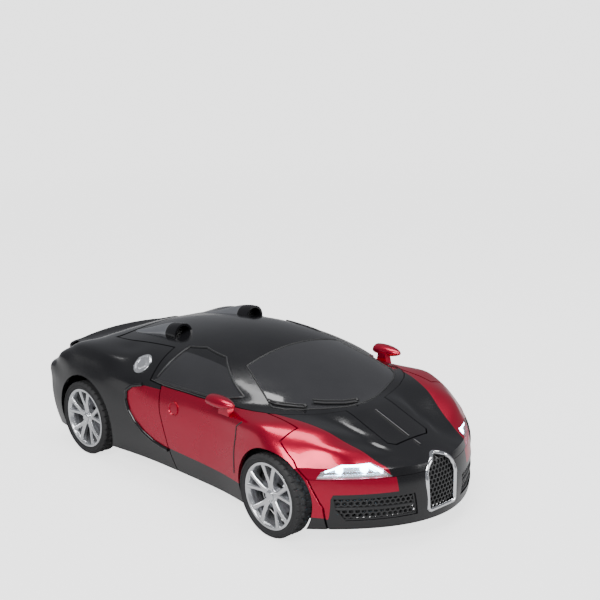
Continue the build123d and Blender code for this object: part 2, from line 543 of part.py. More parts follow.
# ---------------------------------------------------------------- foot plate
FOOT_Y = 34.0
foot = block(FOOT_X, 52, -FOOT_Y, FOOT_Y, 5.6, 8.4) + rod_y(FOOT_X, FOOT_Z, 3.6, -37.8, 37.8)
ROLLER_X, ROLLER_Z = 5.5, 7.9
for y0, y1 in ((-13, 13), (15.4, 30.8), (-30.8, -15.4)):
    foot -= block(ROLLER_X - 4.6, ROLLER_X + 4.6, y0, y1, 5, 9)
foot += rod_y(ROLLER_X, ROLLER_Z, 3.9, -13.1, 13.1) + rod_y(ROLLER_X, ROLLER_Z, 1.2, -31, 31)
foot += rod_y(FOOT_X, FOOT_Z, 1.5, -WALL_OUT, WALL_OUT)
save("foot_plate", foot)
spring = rod_y(ROLLER_X, ROLLER_Z, 3.9, 16, 30.2) - rod_y(ROLLER_X, ROLLER_Z, 1.25, 15, 31)
save("foot_toes", both(plate_z([(33, 13), (46, 12), (48.5, 18), (47, 24), (42, 28.4), (37, 28.4), (33, 24)], 3.6, 5.6) + spring))
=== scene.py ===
"""Looks of the transforming toy car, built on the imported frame. Metres, +X nose, +Y left, +Z up.

Tables inside mm(...) are in millimetres. "Under the car" is the robot's front, which faces down at rest.
"""
import json
import math

import bmesh
import bpy
from mathutils import Matrix, Vector
from mathutils.bvhtree import BVHTree


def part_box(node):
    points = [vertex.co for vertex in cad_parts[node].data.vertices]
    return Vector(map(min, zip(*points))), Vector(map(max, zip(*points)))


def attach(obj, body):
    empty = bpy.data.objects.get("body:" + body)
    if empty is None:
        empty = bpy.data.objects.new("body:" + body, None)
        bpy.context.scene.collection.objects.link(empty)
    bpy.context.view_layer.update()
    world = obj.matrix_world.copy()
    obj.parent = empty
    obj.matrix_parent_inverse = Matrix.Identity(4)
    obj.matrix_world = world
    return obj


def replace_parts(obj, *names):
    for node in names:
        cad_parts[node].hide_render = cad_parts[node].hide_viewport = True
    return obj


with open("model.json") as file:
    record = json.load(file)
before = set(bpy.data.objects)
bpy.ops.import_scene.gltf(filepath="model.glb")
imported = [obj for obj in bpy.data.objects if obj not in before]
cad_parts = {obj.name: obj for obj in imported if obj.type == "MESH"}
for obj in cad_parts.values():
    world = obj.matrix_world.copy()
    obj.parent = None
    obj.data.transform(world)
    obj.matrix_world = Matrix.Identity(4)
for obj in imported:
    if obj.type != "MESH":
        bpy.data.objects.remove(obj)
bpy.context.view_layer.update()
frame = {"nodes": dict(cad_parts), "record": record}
nodes = frame["nodes"]
SIDES = (("left", 1), ("right", -1))
AHEAD, BESIDE, ABOVE = 0.2, 0.09, 0.12       # where rays that look for the CAD skin start
DOWN = Vector((0, 0, -1))


def mm(rows):
    """Table of points given in millimetres, in metres."""
    return [tuple(round(v / 1000, 7) for v in row) for row in rows]


# ---------------------------------------------------------------- materials
GRAIN_DEPTH = 0.0004
COAT_ROUGH = 0.03
PAINT_EDGE = 0.00015       # half width of the line between two paints
CURVE_TOP = 0.07           # value at the top of a paint curve
SCOOP_TONES = (-0.0409, -0.0405)
RED = (0.44, 0.0, 0.030)
BLACK = (0.0055, 0.0055, 0.0065)
SCOOP_SILVER = (0.56, 0.57, 0.59)


def shader(name):
    mat = bpy.data.materials.new(name)
    mat.use_nodes = True
    return mat, mat.node_tree, mat.node_tree.nodes["Principled BSDF"]


def remap(tree, source, given=(0.0, 1.0), wanted=(0.0, 1.0)):
    """Map Range node from one span to another; returns its result."""
    span = tree.nodes.new("ShaderNodeMapRange")
    span.inputs["From Min"].default_value, span.inputs["From Max"].default_value = given
    span.inputs["To Min"].default_value, span.inputs["To Max"].default_value = wanted
    tree.links.new(source, span.inputs["Value"])
    return span.outputs["Result"]


def blend(tree, share, first, second):
    """Mix of two colours; returns the mixed colour."""
    mix = tree.nodes.new("ShaderNodeMix")
    mix.data_type = "RGBA"
    mix.inputs["A"].default_value, mix.inputs["B"].default_value = (*first, 1), (*second, 1)
    tree.links.new(share, mix.inputs["Factor"])
    return mix.outputs["Result"]


def compute(tree, operation, *values):
    """Math node on sockets and numbers; returns its value."""
    node = tree.nodes.new("ShaderNodeMath")
    node.operation = operation
    for slot, value in zip(node.inputs, values):
        if isinstance(value, float):
            slot.default_value = value
        else:
            tree.links.new(value, slot)
    return node.outputs[0]


def noise(tree, where, scale, detail):
    node = tree.nodes.new("ShaderNodeTexNoise")
    node.inputs["Scale"].default_value = scale
    node.inputs["Detail"].default_value = detail
    tree.links.new(where, node.inputs["Vector"])
    return node.outputs["Fac"]


def surface(name, color, rough, metallic=0.0, coat=0.0, vary=0.12, grain=900.0, bump=0.02, alpha=1.0, glow=None):
    """Moulded material: colour and roughness wander slightly, and a fine bump gives the grain."""
    mat, tree, bsdf = shader(name)
    where = tree.nodes.new("ShaderNodeTexCoord").outputs["Object"]
    cloud = noise(tree, where, 55.0, 6.0)
    tint = blend(tree, cloud, [c * (1 - vary) for c in color], [min(c * (1 + vary) + 0.002, 1) for c in color])
    tree.links.new(tint, bsdf.inputs["Base Color"])
    tree.links.new(remap(tree, cloud, wanted=(rough * 0.85, min(rough * 1.2, 1.0))), bsdf.inputs["Roughness"])
    relief = tree.nodes.new("ShaderNodeBump")
    relief.inputs["Strength"].default_value = bump
    relief.inputs["Distance"].default_value = GRAIN_DEPTH
    tree.links.new(noise(tree, where, grain, 3.0), relief.inputs["Height"])
    tree.links.new(relief.outputs["Normal"], bsdf.inputs["Normal"])
    bsdf.inputs["Metallic"].default_value = metallic
    bsdf.inputs["Coat Weight"].default_value = coat
    bsdf.inputs["Coat Roughness"].default_value = COAT_ROUGH
    bsdf.inputs["Alpha"].default_value = alpha
    if glow:
        bsdf.inputs["Emission Color"].default_value = (*glow[0], 1)
        bsdf.inputs["Emission Strength"].default_value = glow[1]
    return mat


mats = {
    "red_gloss": surface("metallic_red", RED, 0.27, metallic=0.75, coat=0.45, vary=0.06, grain=5200, bump=0.012),
    "black_gloss": surface("piano_black", BLACK, 0.17, coat=0.25, vary=0.3, bump=0.006),
    "black_plastic": surface("moulded_black", (0.014, 0.014, 0.015), 0.48, bump=0.22, vary=0.25),
    "dark_silver": surface("gunmetal", (0.20, 0.20, 0.215), 0.36, metallic=0.75, bump=0.05),
    "silver_plastic": surface("metallised_silver", (0.74, 0.75, 0.77), 0.25, metallic=0.9, vary=0.06, bump=0.03),
    "white_plastic": surface("satin_white", (0.74, 0.74, 0.72), 0.38, vary=0.05, bump=0.06),
    "gold_plastic": surface("satin_gold", (0.66, 0.44, 0.13), 0.30, metallic=0.85, vary=0.1, bump=0.04),
    "tinted_window": surface("smoked_window", (0.020, 0.020, 0.022), 0.09, coat=0.6, vary=0.15, bump=0.003),
    "clear_lens": surface("clear_lens", (0.92, 0.96, 1.0), 0.05, coat=1.0, vary=0.02, bump=0.002, alpha=0.16),
    "red_lens": surface("red_lens", (0.50, 0.010, 0.012), 0.12, coat=1.0, vary=0.1, bump=0.01),
    "tyre_rubber": surface("tyre_rubber", (0.020, 0.020, 0.021), 0.74, bump=0.35, vary=0.3),
    "steel_pin": surface("turned_steel", (0.55, 0.56, 0.58), 0.26, metallic=1.0, vary=0.06, bump=0.03),
    "motor_steel": surface("zinc_steel", (0.50, 0.51, 0.52), 0.35, metallic=1.0, vary=0.1, bump=0.05),
    "battery_wrap": surface("cell_wrap", (0.05, 0.16, 0.42), 0.28, coat=0.4, bump=0.01),
    "circuit_board": surface("solder_mask", (0.02, 0.20, 0.07), 0.32, coat=0.3, bump=0.04),
}
chrome = surface("chrome", (0.86, 0.87, 0.89), 0.09, metallic=1.0, vary=0.03, bump=0.004)
red_clear = surface("red_clear", (0.42, 0.004, 0.012), 0.20, metallic=0.3, coat=0.8, vary=0.25, bump=0.05)
lamp_glow = surface("lamp_glow", (0.8, 0.9, 1.0), 0.3, glow=((0.50, 0.78, 1.0), 22.0))
lamp_strip = surface("lamp_strip", (0.8, 0.9, 1.0), 0.3, glow=((0.45, 0.74, 1.0), 26.0))
# painted glow: the red stone emits a faint red light though it holds no lamp
jewel_red_painted_glow = surface("jewel_red_painted_glow", (0.6, 0.01, 0.01), 0.08, coat=1.0, glow=((0.9, 0.05, 0.03), 0.35))
# painted glow: the green eyes emit light though they hold no lamp
eye_green_painted_glow = surface("eye_green_painted_glow", (0.05, 0.5, 0.15), 0.15, coat=1.0, glow=((0.1, 1.0, 0.35), 2.2))
mesh_black = surface("mesh_black", (0.014, 0.014, 0.015), 0.42, coat=0.3, bump=0.08)


def position(tree):
    """Sockets of the object's own x, y and z."""
    where = tree.nodes.new("ShaderNodeTexCoord")
    split = tree.nodes.new("ShaderNodeSeparateXYZ")
    tree.links.new(where.outputs["Object"], split.inputs["Vector"])
    return [split.outputs[axis] for axis in "XYZ"]


def finish(tree, bsdf, share, first, second):
    """Goes from the first (colour, metallic, roughness, coat) to the second."""
    tree.links.new(blend(tree, share, first[0], second[0]), bsdf.inputs["Base Color"])
    for socket, low, high in zip(("Metallic", "Roughness", "Coat Weight"), first[1:], second[1:]):
        if low == high:
            bsdf.inputs[socket].default_value = low
        else:
            tree.links.new(remap(tree, share, wanted=(low, high)), bsdf.inputs[socket])
    bsdf.inputs["Coat Roughness"].default_value = COAT_ROUGH


def two_tone(name, edge, floor=None):
    """Red where |y| is past edge(x) and, if a floor is given, z is above floor(|y|); piano black elsewhere."""
    mat, tree, bsdf = shader(name)
    x, y, z = position(tree)
    away = compute(tree, "ABSOLUTE", y)

    def step(along, value, stops):
        """1 where value is above the curve through the stops, 0 below it."""
        first, last = stops[0][0], stops[-1][0]
        curve = tree.nodes.new("ShaderNodeFloatCurve")
        tree.links.new(remap(tree, along, (first, last)), curve.inputs["Value"])
        scaled = [((u - first) / (last - first), v / CURVE_TOP) for u, v in stops]
        points = curve.mapping.curves[0].points
        points[0].location, points[1].location = scaled[0], scaled[-1]
        for u, v in scaled[1:-1]:
            points.new(u, v)
        for point in points:
            point.handle_type = "VECTOR"
        curve.mapping.update()
        level = compute(tree, "MULTIPLY", curve.outputs["Value"], CURVE_TOP)
        return remap(tree, compute(tree, "SUBTRACT", value, level), (-PAINT_EDGE, PAINT_EDGE))

    red = step(x, away, edge)
    if floor:
        red = compute(tree, "MULTIPLY", red, step(away, z, floor))
    finish(tree, bsdf, red, (BLACK, 0.0, 0.17, 0.25), (RED, 0.75, 0.28, 0.45))
    return mat


def scoop_paint():
    """Piano black nose and silver tail."""
    mat, tree, bsdf = shader("scoop_paint")
    share = remap(tree, position(tree)[0], SCOOP_TONES)
    finish(tree, bsdf, share, (SCOOP_SILVER, 1.0, 0.28, 0.0), (BLACK, 0.0, 0.17, 0.0))
    return mat


slot_of = {row["node"]: row["material_slot"] for row in frame["record"]["subparts"]}
for name, node in nodes.items():
    node.data.materials.clear()
    node.data.materials.append(mats[slot_of[name]])
nodes["hood"].data.materials[0] = two_tone(
    "hood_paint", mm([(56, 46.5), (70, 43), (86, 37.5), (105, 30), (119, 26.5), (130, 23.5)]))
nodes["air_scoops"].data.materials[0] = scoop_paint()
nodes["front_bumper"].data.materials[0] = two_tone(
    "bumper_paint", mm([(80, 24), (110, 24), (121.5, 24), (132, 23)]),
    mm([(0, 26.5), (48, 26.2), (49, 24), (49.6, 14.2), (60, 13.8), (65, 13.8)]))


# ---------------------------------------------------------------- mesh helpers
def piece(name, bm, body, mat, bevel=0.0, smooth=40.0):
    """Turns a bmesh in the row frame into a finished piece that rides on a body."""
    bmesh.ops.recalc_face_normals(bm, faces=bm.faces)
    mesh = bpy.data.meshes.new(name)
    bm.to_mesh(mesh)
    bm.free()
    obj = bpy.data.objects.new(name, mesh)
    bpy.context.scene.collection.objects.link(obj)
    mesh.materials.append(mat)
    mesh.shade_smooth()
    if bevel:
        rounding = obj.modifiers.new("rounding", "BEVEL")
        rounding.width, rounding.segments = bevel, 2
        rounding.limit_method, rounding.angle_limit = "ANGLE", math.radians(28)
        rounding.harden_normals = True
    mesh.set_sharp_from_angle(angle=math.radians(smooth))
    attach(obj, body)
    return obj


def turned(radius, count, start=0.0):
    """Points on a circle."""
    turns = [start + 2 * math.pi * k / count for k in range(count)]
    return [(radius * math.cos(t), radius * math.sin(t)) for t in turns]


def rect(u0, u1, v0, v1):
    """Outline of a rectangle."""
    return [(u0, v0), (u1, v0), (u1, v1), (u0, v1)]


def walk(points, steps):
    """Even steps along a line of pairs, without its last point."""
    return [(a0 + (a1 - a0) * k / steps, b0 + (b1 - b0) * k / steps)
            for (a0, b0), (a1, b1) in zip(points, points[1:]) for k in range(steps)]


def bands(bm, rings, closed=False):
    """Joins rings of vertices; a closed stack also joins its last ring to the first."""
    for a, b in list(zip(rings, rings[1:])) + ([(rings[-1], rings[0])] if closed else []):
        for i in range(len(a)):
            n = (i + 1) % len(a)
            bm.faces.new((a[i], a[n], b[n], b[i]))


def prism(bm, outline, low, high, place):
    """Closed outline swept from low to high; place maps (u, v, w) to a point."""
    rings = [[bm.verts.new(place(u, v, w)) for u, v in outline] for w in (low, high)]
    bands(bm, rings)
    bm.faces.new(rings[0][::-1])
    bm.faces.new(rings[1])


def lathe(bm, profile, steps, place, closed=False):
    """Profile of (along, radius) turned about an axis; place maps (along, a, b) to a point."""
    rings = [[bm.verts.new(place(along, a, b)) for a, b in turned(r, steps)] for along, r in profile]
    bands(bm, rings, closed)
    return rings


def studs(bm, count, radius, profile, steps, place, start=0.0):
    """Small turned studs spaced on a circle."""
    for u, v in turned(radius, count, start):
        lathe(bm, profile, steps, lambda along, a, b, u=u, v=v: place(along, u + a, v + b))


def tube(bm, path, radius, sides=8):
    """Round tube along a path of points."""
    path = [Vector(p) for p in path]
    rings = []
    for i, p in enumerate(path):
        ahead = (path[min(i + 1, len(path) - 1)] - path[max(i - 1, 0)]).normalized()
        across = ahead.orthogonal().normalized() if not rings else (across - ahead * across.dot(ahead)).normalized()
        other = ahead.cross(across)
        rings.append([bm.verts.new(p + across * a + other * b) for a, b in turned(radius, sides)])
    bands(bm, rings)
    bm.faces.new(rings[0][::-1])
    bm.faces.new(rings[-1])


def bead(name, body, path, radius, mat, sides=8):
    """Round bead along a path, as a piece of its own."""
    bm = bmesh.new()
    tube(bm, path, radius, sides)
    piece(name, bm, body, mat, smooth=60)


def finder(name):
    """Search tree over the CAD mesh of a node."""
    bm = bmesh.new()
    bm.from_mesh(nodes[name].data)
    tree = BVHTree.FromBMesh(bm)
    bm.free()
    return tree


def meet(tree, start, way, lift=0.0):
    """Point where a ray meets a CAD skin, lifted off it, and the skin's normal towards the ray."""
    hit, normal, _, _ = tree.ray_cast(Vector(start), Vector(way))
    if hit is None:
        return None, None
    if normal.dot(Vector(way)) > 0:
        normal = -normal
    return hit + normal * lift, normal


def from_above(trees, points, lift=0.0, floor=0.0):
    """Highest skin points under a line of (x, y), leaving out those below a floor and those that miss."""
    path = []
    for x, y in points:
        hits = [meet(tree, (x, y, ABOVE), DOWN, lift)[0] for tree in trees]
        hits = [hit for hit in hits if hit and hit.z > floor]
        if hits:
            path.append(max(hits, key=lambda v: v.z))
    return path


def from_side(trees, side, points, lift):
    """Outermost skin points beside a line of (x, z), leaving out those that miss."""
    path = []
    for x, z in points:
        hits = [meet(tree, (x, side * BESIDE, z), (0, -side, 0), lift)[0] for tree in trees]
        hits = [hit for hit in hits if hit]
        if hits:
            path.append(max(hits, key=lambda v: abs(v.y)))
    return path


def square_to(centre, normal, first):
    """Maps (along, a, b) to a point round a normal."""
    ex = Vector(first).cross(normal).normalized()
    ey = normal.cross(ex)
    return lambda along, a, b: centre + normal * along + ex * a + ey * b


# ---------------------------------------------------------------- wheels
RIM_R = 0.0167
TYRE_STEPS, TREAD_BLOCKS, TREAD_DEEP = 216, 36, 0.0007
SPOKES = 5
TREAD = [-0.72, -0.68, -0.30, -0.26, -0.02, 0.02, 0.26, 0.30, 0.68, 0.72]       # shares of the tyre's half width
SPOKE = mm([(2.4, 0.5, 1.2, 3.0, 2.2), (6.0, 0.7, 1.2, 2.8, 1.7),
            (10.5, 2.2, 1.1, 2.4, 1.0), (15.6, 4.3, 1.5, 2.2, 0.6)])       # radius, offset, half width, depth, sunk


def wheel(name, body, side):
    low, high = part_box(f"tyre_{name}")
    centre = (low + high) / 2
    radius, half = (high.x - low.x) / 2, (high.y - low.y) / 2
    shoulder = half * 0.86
    face = half - 0.0009       # outer face of the rim, from the tyre's middle

    def place(along, a, b):
        return Vector((centre.x + a, centre.y + side * along, centre.z + b))

    def from_face(rows):
        return [(face + along, r) for along, r in mm(rows)]

    # tyre, with grooves round it and blocks across it
    bm = bmesh.new()
    profile = [(-shoulder, RIM_R), (-half, RIM_R + 0.0009), (-half, radius - 0.0019), (-shoulder, radius - 0.0005)]
    profile += [(half * t, radius) for t in TREAD]
    profile += [(shoulder, radius - 0.0005), (half, radius - 0.0019), (half, RIM_R + 0.0022),
                (half * 0.93, RIM_R + 0.0016), (half * 0.93, RIM_R + 0.0009), (shoulder, RIM_R)]
    rings = lathe(bm, profile, TYRE_STEPS, place, closed=True)
    for k, t in enumerate(TREAD):
        for i, vert in enumerate(rings[4 + k]):
            turn = (i / TYRE_STEPS * TREAD_BLOCKS + abs(t) * 0.9) % 1.0
            if k in (2, 3, 6, 7) or turn < 0.26:
                out = Vector((vert.co.x - centre.x, 0, vert.co.z - centre.z)).normalized()
                vert.co -= out * TREAD_DEEP
    tyre = piece(f"tyre_{name}_tread", bm, body, mats["tyre_rubber"], smooth=30)
    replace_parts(tyre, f"tyre_{name}")

    # rim: barrel, forked spokes, hub and nuts
    bm = bmesh.new()
    lathe(bm, [(-half + 0.0008, RIM_R - 0.0002), (-half + 0.0008, RIM_R - 0.0014), (-half + 0.003, RIM_R - 0.0022),
               (face - 0.0032, RIM_R - 0.0026), (face - 0.0010, RIM_R - 0.0021), (face, RIM_R - 0.0014),
               (face, RIM_R - 0.0002)], 96, place, closed=True)
    for i in range(SPOKES):
        turn = 2 * math.pi * i / SPOKES + math.pi / 2
        for lean in (-1, 1):
            sections = []
            for r, off, wide, deep, sunk in SPOKE:
                ring = []
                for u, v in ((-wide, 0), (-wide * 0.55, 0.0005), (wide * 0.55, 0.0005), (wide, 0),
                             (wide * 0.8, -deep), (-wide * 0.8, -deep)):
                    across = lean * off + u
                    a = r * math.cos(turn) - across * math.sin(turn)
                    b = r * math.sin(turn) + across * math.cos(turn)
                    ring.append(bm.verts.new(place(face - sunk + v, a, b)))
                sections.append(ring)
            bands(bm, sections)
            bm.faces.new(sections[0])
            bm.faces.new(sections[-1][::-1])
    lathe(bm, from_face([(-5.5, 0), (-5.5, 4.2), (-2.0, 4.2), (-1.5, 3.6), (-1.5, 2.6), (-0.8, 2.4), (-0.4, 1.8),
                         (-0.4, 0)]),
          40, place)
    studs(bm, SPOKES, 0.0032, from_face([(-3, 0), (-3, 0.5), (-1.2, 0.5), (-1.0, 0)]), 8, place,
          math.pi / SPOKES + math.pi / 2)
    rim = piece(f"rim_{name}_spokes", bm, body, mats["silver_plastic"], bevel=0.00018, smooth=35)
    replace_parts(rim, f"rim_{name}")

    # brake disc, caliper, and the dark backing behind them
    bm = bmesh.new()
    lathe(bm, from_face([(-7.4, 4.0), (-6.8, 4.4), (-6.8, 7.0), (-6.6, 7.2), (-6.6, 10.2), (-7.0, 10.6), (-8.2, 10.6),
                         (-8.2, 4.0)]),
          72, place, closed=True)
    studs(bm, 18, 0.0087, from_face([(-7.0, 0), (-7.0, 0.4), (-6.4, 0.4), (-6.4, 0)]), 6, place)
    piece(f"brake_disc_{name}", bm, body, mats["dark_silver"], smooth=30)
    bm = bmesh.new()
    caliper = [(r * math.cos(t), r * math.sin(t)) for r, turns in ((0.0068, (0.25, 0.55, 0.85)),
                                                                   (0.0118, (0.85, 0.55, 0.25)))
               for t in turns]
    for k in range(2):
        prism(bm, caliper, face - 0.0072 + 0.0012 * k, face - 0.0058 + 0.0005 * k, lambda u, v, w: place(w, u, v))
    piece(f"caliper_{name}", bm, body, mats["silver_plastic"], bevel=0.0002)
    bm = bmesh.new()
    lathe(bm, [(face - 0.0084, 0.0), (face - 0.0084, RIM_R - 0.0026), (face - 0.0092, RIM_R - 0.0026),
               (face - 0.0092, 0.0)],
          60, place)
    piece(f"hub_backing_{name}", bm, body, mats["black_plastic"])

    if name.startswith("rear"):       # driven wheels: axle and its gear
        bm = bmesh.new()
        lathe(bm, [(-half * 0.9, 0.0), (-half * 0.9, 0.0015), (-0.0335, 0.0015), (-0.0335, 0.0)], 24, place)
        tooth = ((0.0, 0.0070), (0.22, 0.0070), (0.34, 0.0079), (0.66, 0.0079), (0.78, 0.0070))
        gear = [(r * math.cos(t), r * math.sin(t)) for i in range(30) for part, r in tooth
                for t in (2 * math.pi * (i + part) / 30,)]
        prism(bm, gear, -0.0333, -0.0303, lambda a, b, along: place(along, a, b))
        piece(f"axle_gear_{name}", bm, body, mats["white_plastic"], smooth=30)


for name, side in SIDES:
    wheel(f"front_{name}", f"wheel_front_{name}", side)
    wheel(f"rear_{name}", f"wheel_rear_{name}", side)

# ---------------------------------------------------------------- nose: grille, intakes, lamps
NOSE_X, NOSE_BOW, NOSE_RAKE = 0.130, 10.6, 11.0
NOSE_BACK, NOSE_SINK = 0.09, 0.0012


def inside(outline, y, z):
    """Whether a point lies within an outline."""
    hit = False
    for (y0, z0), (y1, z1) in zip(outline, outline[1:] + outline[:1]):
        if (z0 > z) != (z1 > z) and y < (y1 - y0) * (z - z0) / (z1 - z0) + y0:
            hit = not hit
    return hit


def honeycomb(bm, outline, cell, web, place, deep):
    """Hexagonal mesh over an outline; place maps (y, z, sink) to a point."""
    pitch_y, pitch_z = cell * math.sqrt(3), cell * 1.5
    y_low, y_high = min(y for y, _ in outline) - cell, max(y for y, _ in outline) + cell
    z_low, z_high = min(z for _, z in outline) - cell, max(z for _, z in outline) + cell
    row = 0
    z = z_low
    while z < z_high:
        y = y_low + (pitch_y / 2 if row % 2 else 0)
        while y < y_high:
            if inside(outline, y, z):
                outer, inner, behind = [], [], []
                for k in range(6):
                    t = math.pi / 6 + math.pi / 3 * k
                    c, s = math.cos(t), math.sin(t)
                    outer.append(bm.verts.new(place(y + cell * c, z + cell * s, 0.0)))
                    inner.append(bm.verts.new(place(y + (cell - web) * c, z + (cell - web) * s, 0.0)))
                    behind.append(bm.verts.new(place(y + (cell - web) * c, z + (cell - web) * s, deep)))
                for k in range(6):
                    n = (k + 1) % 6
                    bm.faces.new((outer[k], outer[n], inner[n], inner[k]))
                    bm.faces.new((inner[k], inner[n], behind[n], behind[k]))
            y += pitch_y
        z += pitch_z
        row += 1


def sheet(bm, outline, place, sink):
    """Closed backing panel over an outline, built as a fan of strips from its middle."""
    cy = sum(y for y, _ in outline) / len(outline)
    cz = sum(z for _, z in outline) / len(outline)
    mid = bm.verts.new(place(cy, cz, sink))
    rings = []
    for share in (0.5, 1.0):
        rings.append([bm.verts.new(place(cy + (y - cy) * share, cz + (z - cz) * share, sink)) for y, z in outline])
    n = len(outline)
    for i in range(n):
        bm.faces.new((mid, rings[0][i], rings[0][(i + 1) % n]))
        bm.faces.new((rings[0][i], rings[1][i], rings[1][(i + 1) % n], rings[0][(i + 1) % n]))


def on_skin(y, z, sink):
    """Point on the CAD nose seen from ahead, sunk behind it; a smooth bow where no panel is met."""
    hits = [tree.ray_cast(Vector((AHEAD, y, z)), Vector((-1, 0, 0)))[0] for tree in nose_trees]
    front = max((hit.x for hit in hits if hit), default=0.0)
    if front < NOSE_BACK:
        front = NOSE_X - NOSE_BOW * y * y - NOSE_RAKE * (z - 0.020) ** 2
    return Vector((front - NOSE_SINK - sink, y, z))


nose_trees = [finder(n) for n in ("grille_meshes", "front_bumper", "hood", "grille_ring", "headlights")]
ARCH_R, ARCH_Z = 0.0093, 0.0285
arch_outline = [(-ARCH_R, 0.0140), (ARCH_R, 0.0140), (ARCH_R, ARCH_Z)]
arch_outline += [(ARCH_R * math.cos(math.pi * k / 10), ARCH_Z + ARCH_R * math.sin(math.pi * k / 10))
                 for k in range(1, 10)]
arch_outline += [(-ARCH_R, ARCH_Z)]
INTAKE = mm([(16.3, 24.6), (48.2, 24.6), (47.7, 19), (44.2, 13.2), (14.8, 13.4)])
INTAKE_BAR = mm([(16.5, 18.8), (23, 19), (30, 19.1), (37, 19.2), (44, 19.3), (46.8, 19.3)])
INTAKE_FRAME = mm([(16.5, 24.3), (25, 24.3), (34, 24.3), (41, 24.3), (47.8, 24.3), (47.3, 19), (44, 13.6),
                   (35, 13.7), (25, 13.7), (15.2, 13.8), (15.8, 19), (16.5, 24.3)])

bm = bmesh.new()
honeycomb(bm, arch_outline, 0.00135, 0.00032, on_skin, 0.0012)
piece("grille_honeycomb", bm, "chest", mesh_black, smooth=30)
bm = bmesh.new()
for sign in (1, -1):
    honeycomb(bm, [(sign * y, z) for y, z in INTAKE], 0.0013, 0.00034, on_skin, 0.0010)
    sheet(bm, [(sign * y, z) for y, z in INTAKE], on_skin, 0.0022)
sheet(bm, arch_outline, on_skin, 0.0022)
for sign in (1, -1):       # bar across each intake and a frame round it
    tube(bm, [on_skin(sign * y, z, 0.0002) for y, z in INTAKE_BAR], 0.0009)
    tube(bm, [on_skin(sign * y, z, 0.0002) for y, z in INTAKE_FRAME], 0.0007)
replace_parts(piece("intake_honeycomb", bm, "chest", mesh_black, smooth=30), "grille_meshes")

# chrome surround standing proud of the nose
SURROUND_R, SURROUND_ARCH = 0.00105, 0.0097
ring_path = [(-0.0090, 0.0145), (-SURROUND_ARCH, ARCH_Z)]
ring_path += [(SURROUND_ARCH * math.cos(math.pi - math.pi * k / 12),
               ARCH_Z + SURROUND_ARCH * math.sin(math.pi - math.pi * k / 12))
              for k in range(1, 12)]
ring_path += [(SURROUND_ARCH, ARCH_Z), (0.0090, 0.0145), (0.0080, 0.0136), (-0.0080, 0.0136), (-0.0090, 0.0145)]
rim_points = [on_skin(y, z, -0.0004) for y, z in walk(ring_path, 3) + ring_path[-1:]]
rim_x = [max(p.x for p in rim_points[max(i - 2, 0):i + 3]) for i in range(len(rim_points))]
for _ in range(5):       # the panels step under it; the rim runs smoothly over them
    rim_x = [(rim_x[i - 1] + 2 * rim_x[i] + rim_x[(i + 1) % len(rim_x)]) / 4 for i in range(len(rim_x))]
rim_points = [(min(x, NOSE_X - SURROUND_R - 0.0001), p.y, p.z) for x, p in zip(rim_x, rim_points)]
bead("grille_surround", "chest", rim_points, SURROUND_R, chrome, sides=12)

LAMP = mm([(26.2, 33.8), (30.8, 38.8), (42.8, 39.2), (49.8, 36.3), (51.8, 33.8)])
LAMP_STRIP = mm([(27.5, 34.8), (31.2, 38), (37, 38.6), (42.5, 38.4), (48, 36.2)])
for name, side in SIDES:
    outline = [(side * y, z) for y, z in LAMP]
    bm = bmesh.new()
    sheet(bm, outline, on_skin, 0.0042)
    rim_path = [on_skin(y, z, 0.0012) for y, z in outline]
    tube(bm, rim_path + rim_path[:1], 0.0007)
    piece(f"lamp_bowl_{name}", bm, "chest", chrome, smooth=30)
    strip = [on_skin(side * y, z, 0.0016) for y, z in LAMP_STRIP]
    bead(f"lamp_light_bar_{name}", "chest", strip, 0.00075, lamp_strip, sides=10)
    bm = bmesh.new()
    for y in (0.0335, 0.0425):
        centre = on_skin(side * y, 0.0362, 0.0)
        lathe(bm, mm([(-4, 0), (-4, 1.6), (-2.2, 1.7), (-1.6, 1.2), (-1.4, 0)]), 20,
              lambda along, a, b: centre + Vector((along, a, b)))
    piece(f"lamp_projectors_{name}", bm, "chest", lamp_glow, smooth=50)

# ---------------------------------------------------------------- glass, wipers, roof and side details
SCOOP_X, SCOOP_Y, SCOOP_Z = -0.0372, 0.025, 0.0692       # middle of an air scoop's mouth
screen, roof, glass = finder("windshield"), finder("roof_shell"), finder("side_windows")
WIPERS = (mm([(68, -29.5), (65.5, -32.5), (61, -36.5), (57, -39), (53, -40.2)]),
          mm([(76.5, -3), (74.5, -10), (70, -19), (66, -25)]))
bm = bmesh.new()
for line in WIPERS:
    points = walk(line, 4)
    tube(bm, from_above([screen], points, 0.0007), 0.0006)       # blade
    arm = from_above([screen], [(x - 0.0012, y) for x, y in points], 0.0015)
    tube(bm, arm, 0.00045)
    tube(bm, [arm[0] + Vector((0.0012, 0, -0.0008)), arm[0]], 0.0009)
piece("wipers", bm, "torso", mats["black_plastic"], smooth=60)

# raised centre line along the flap and the nose
for label, node, body, x0, x1 in (("flap", "hood_flap", "torso", 0.0815, 0.1080),
                                  ("nose", "hood", "chest", 0.1110, 0.1275)):
    path = from_above([finder(node)], [(x0 + (x1 - x0) * k / 12, 0.0) for k in range(13)])
    bead(f"{label}_ridge", body, path, 0.00055, mats["black_gloss"])

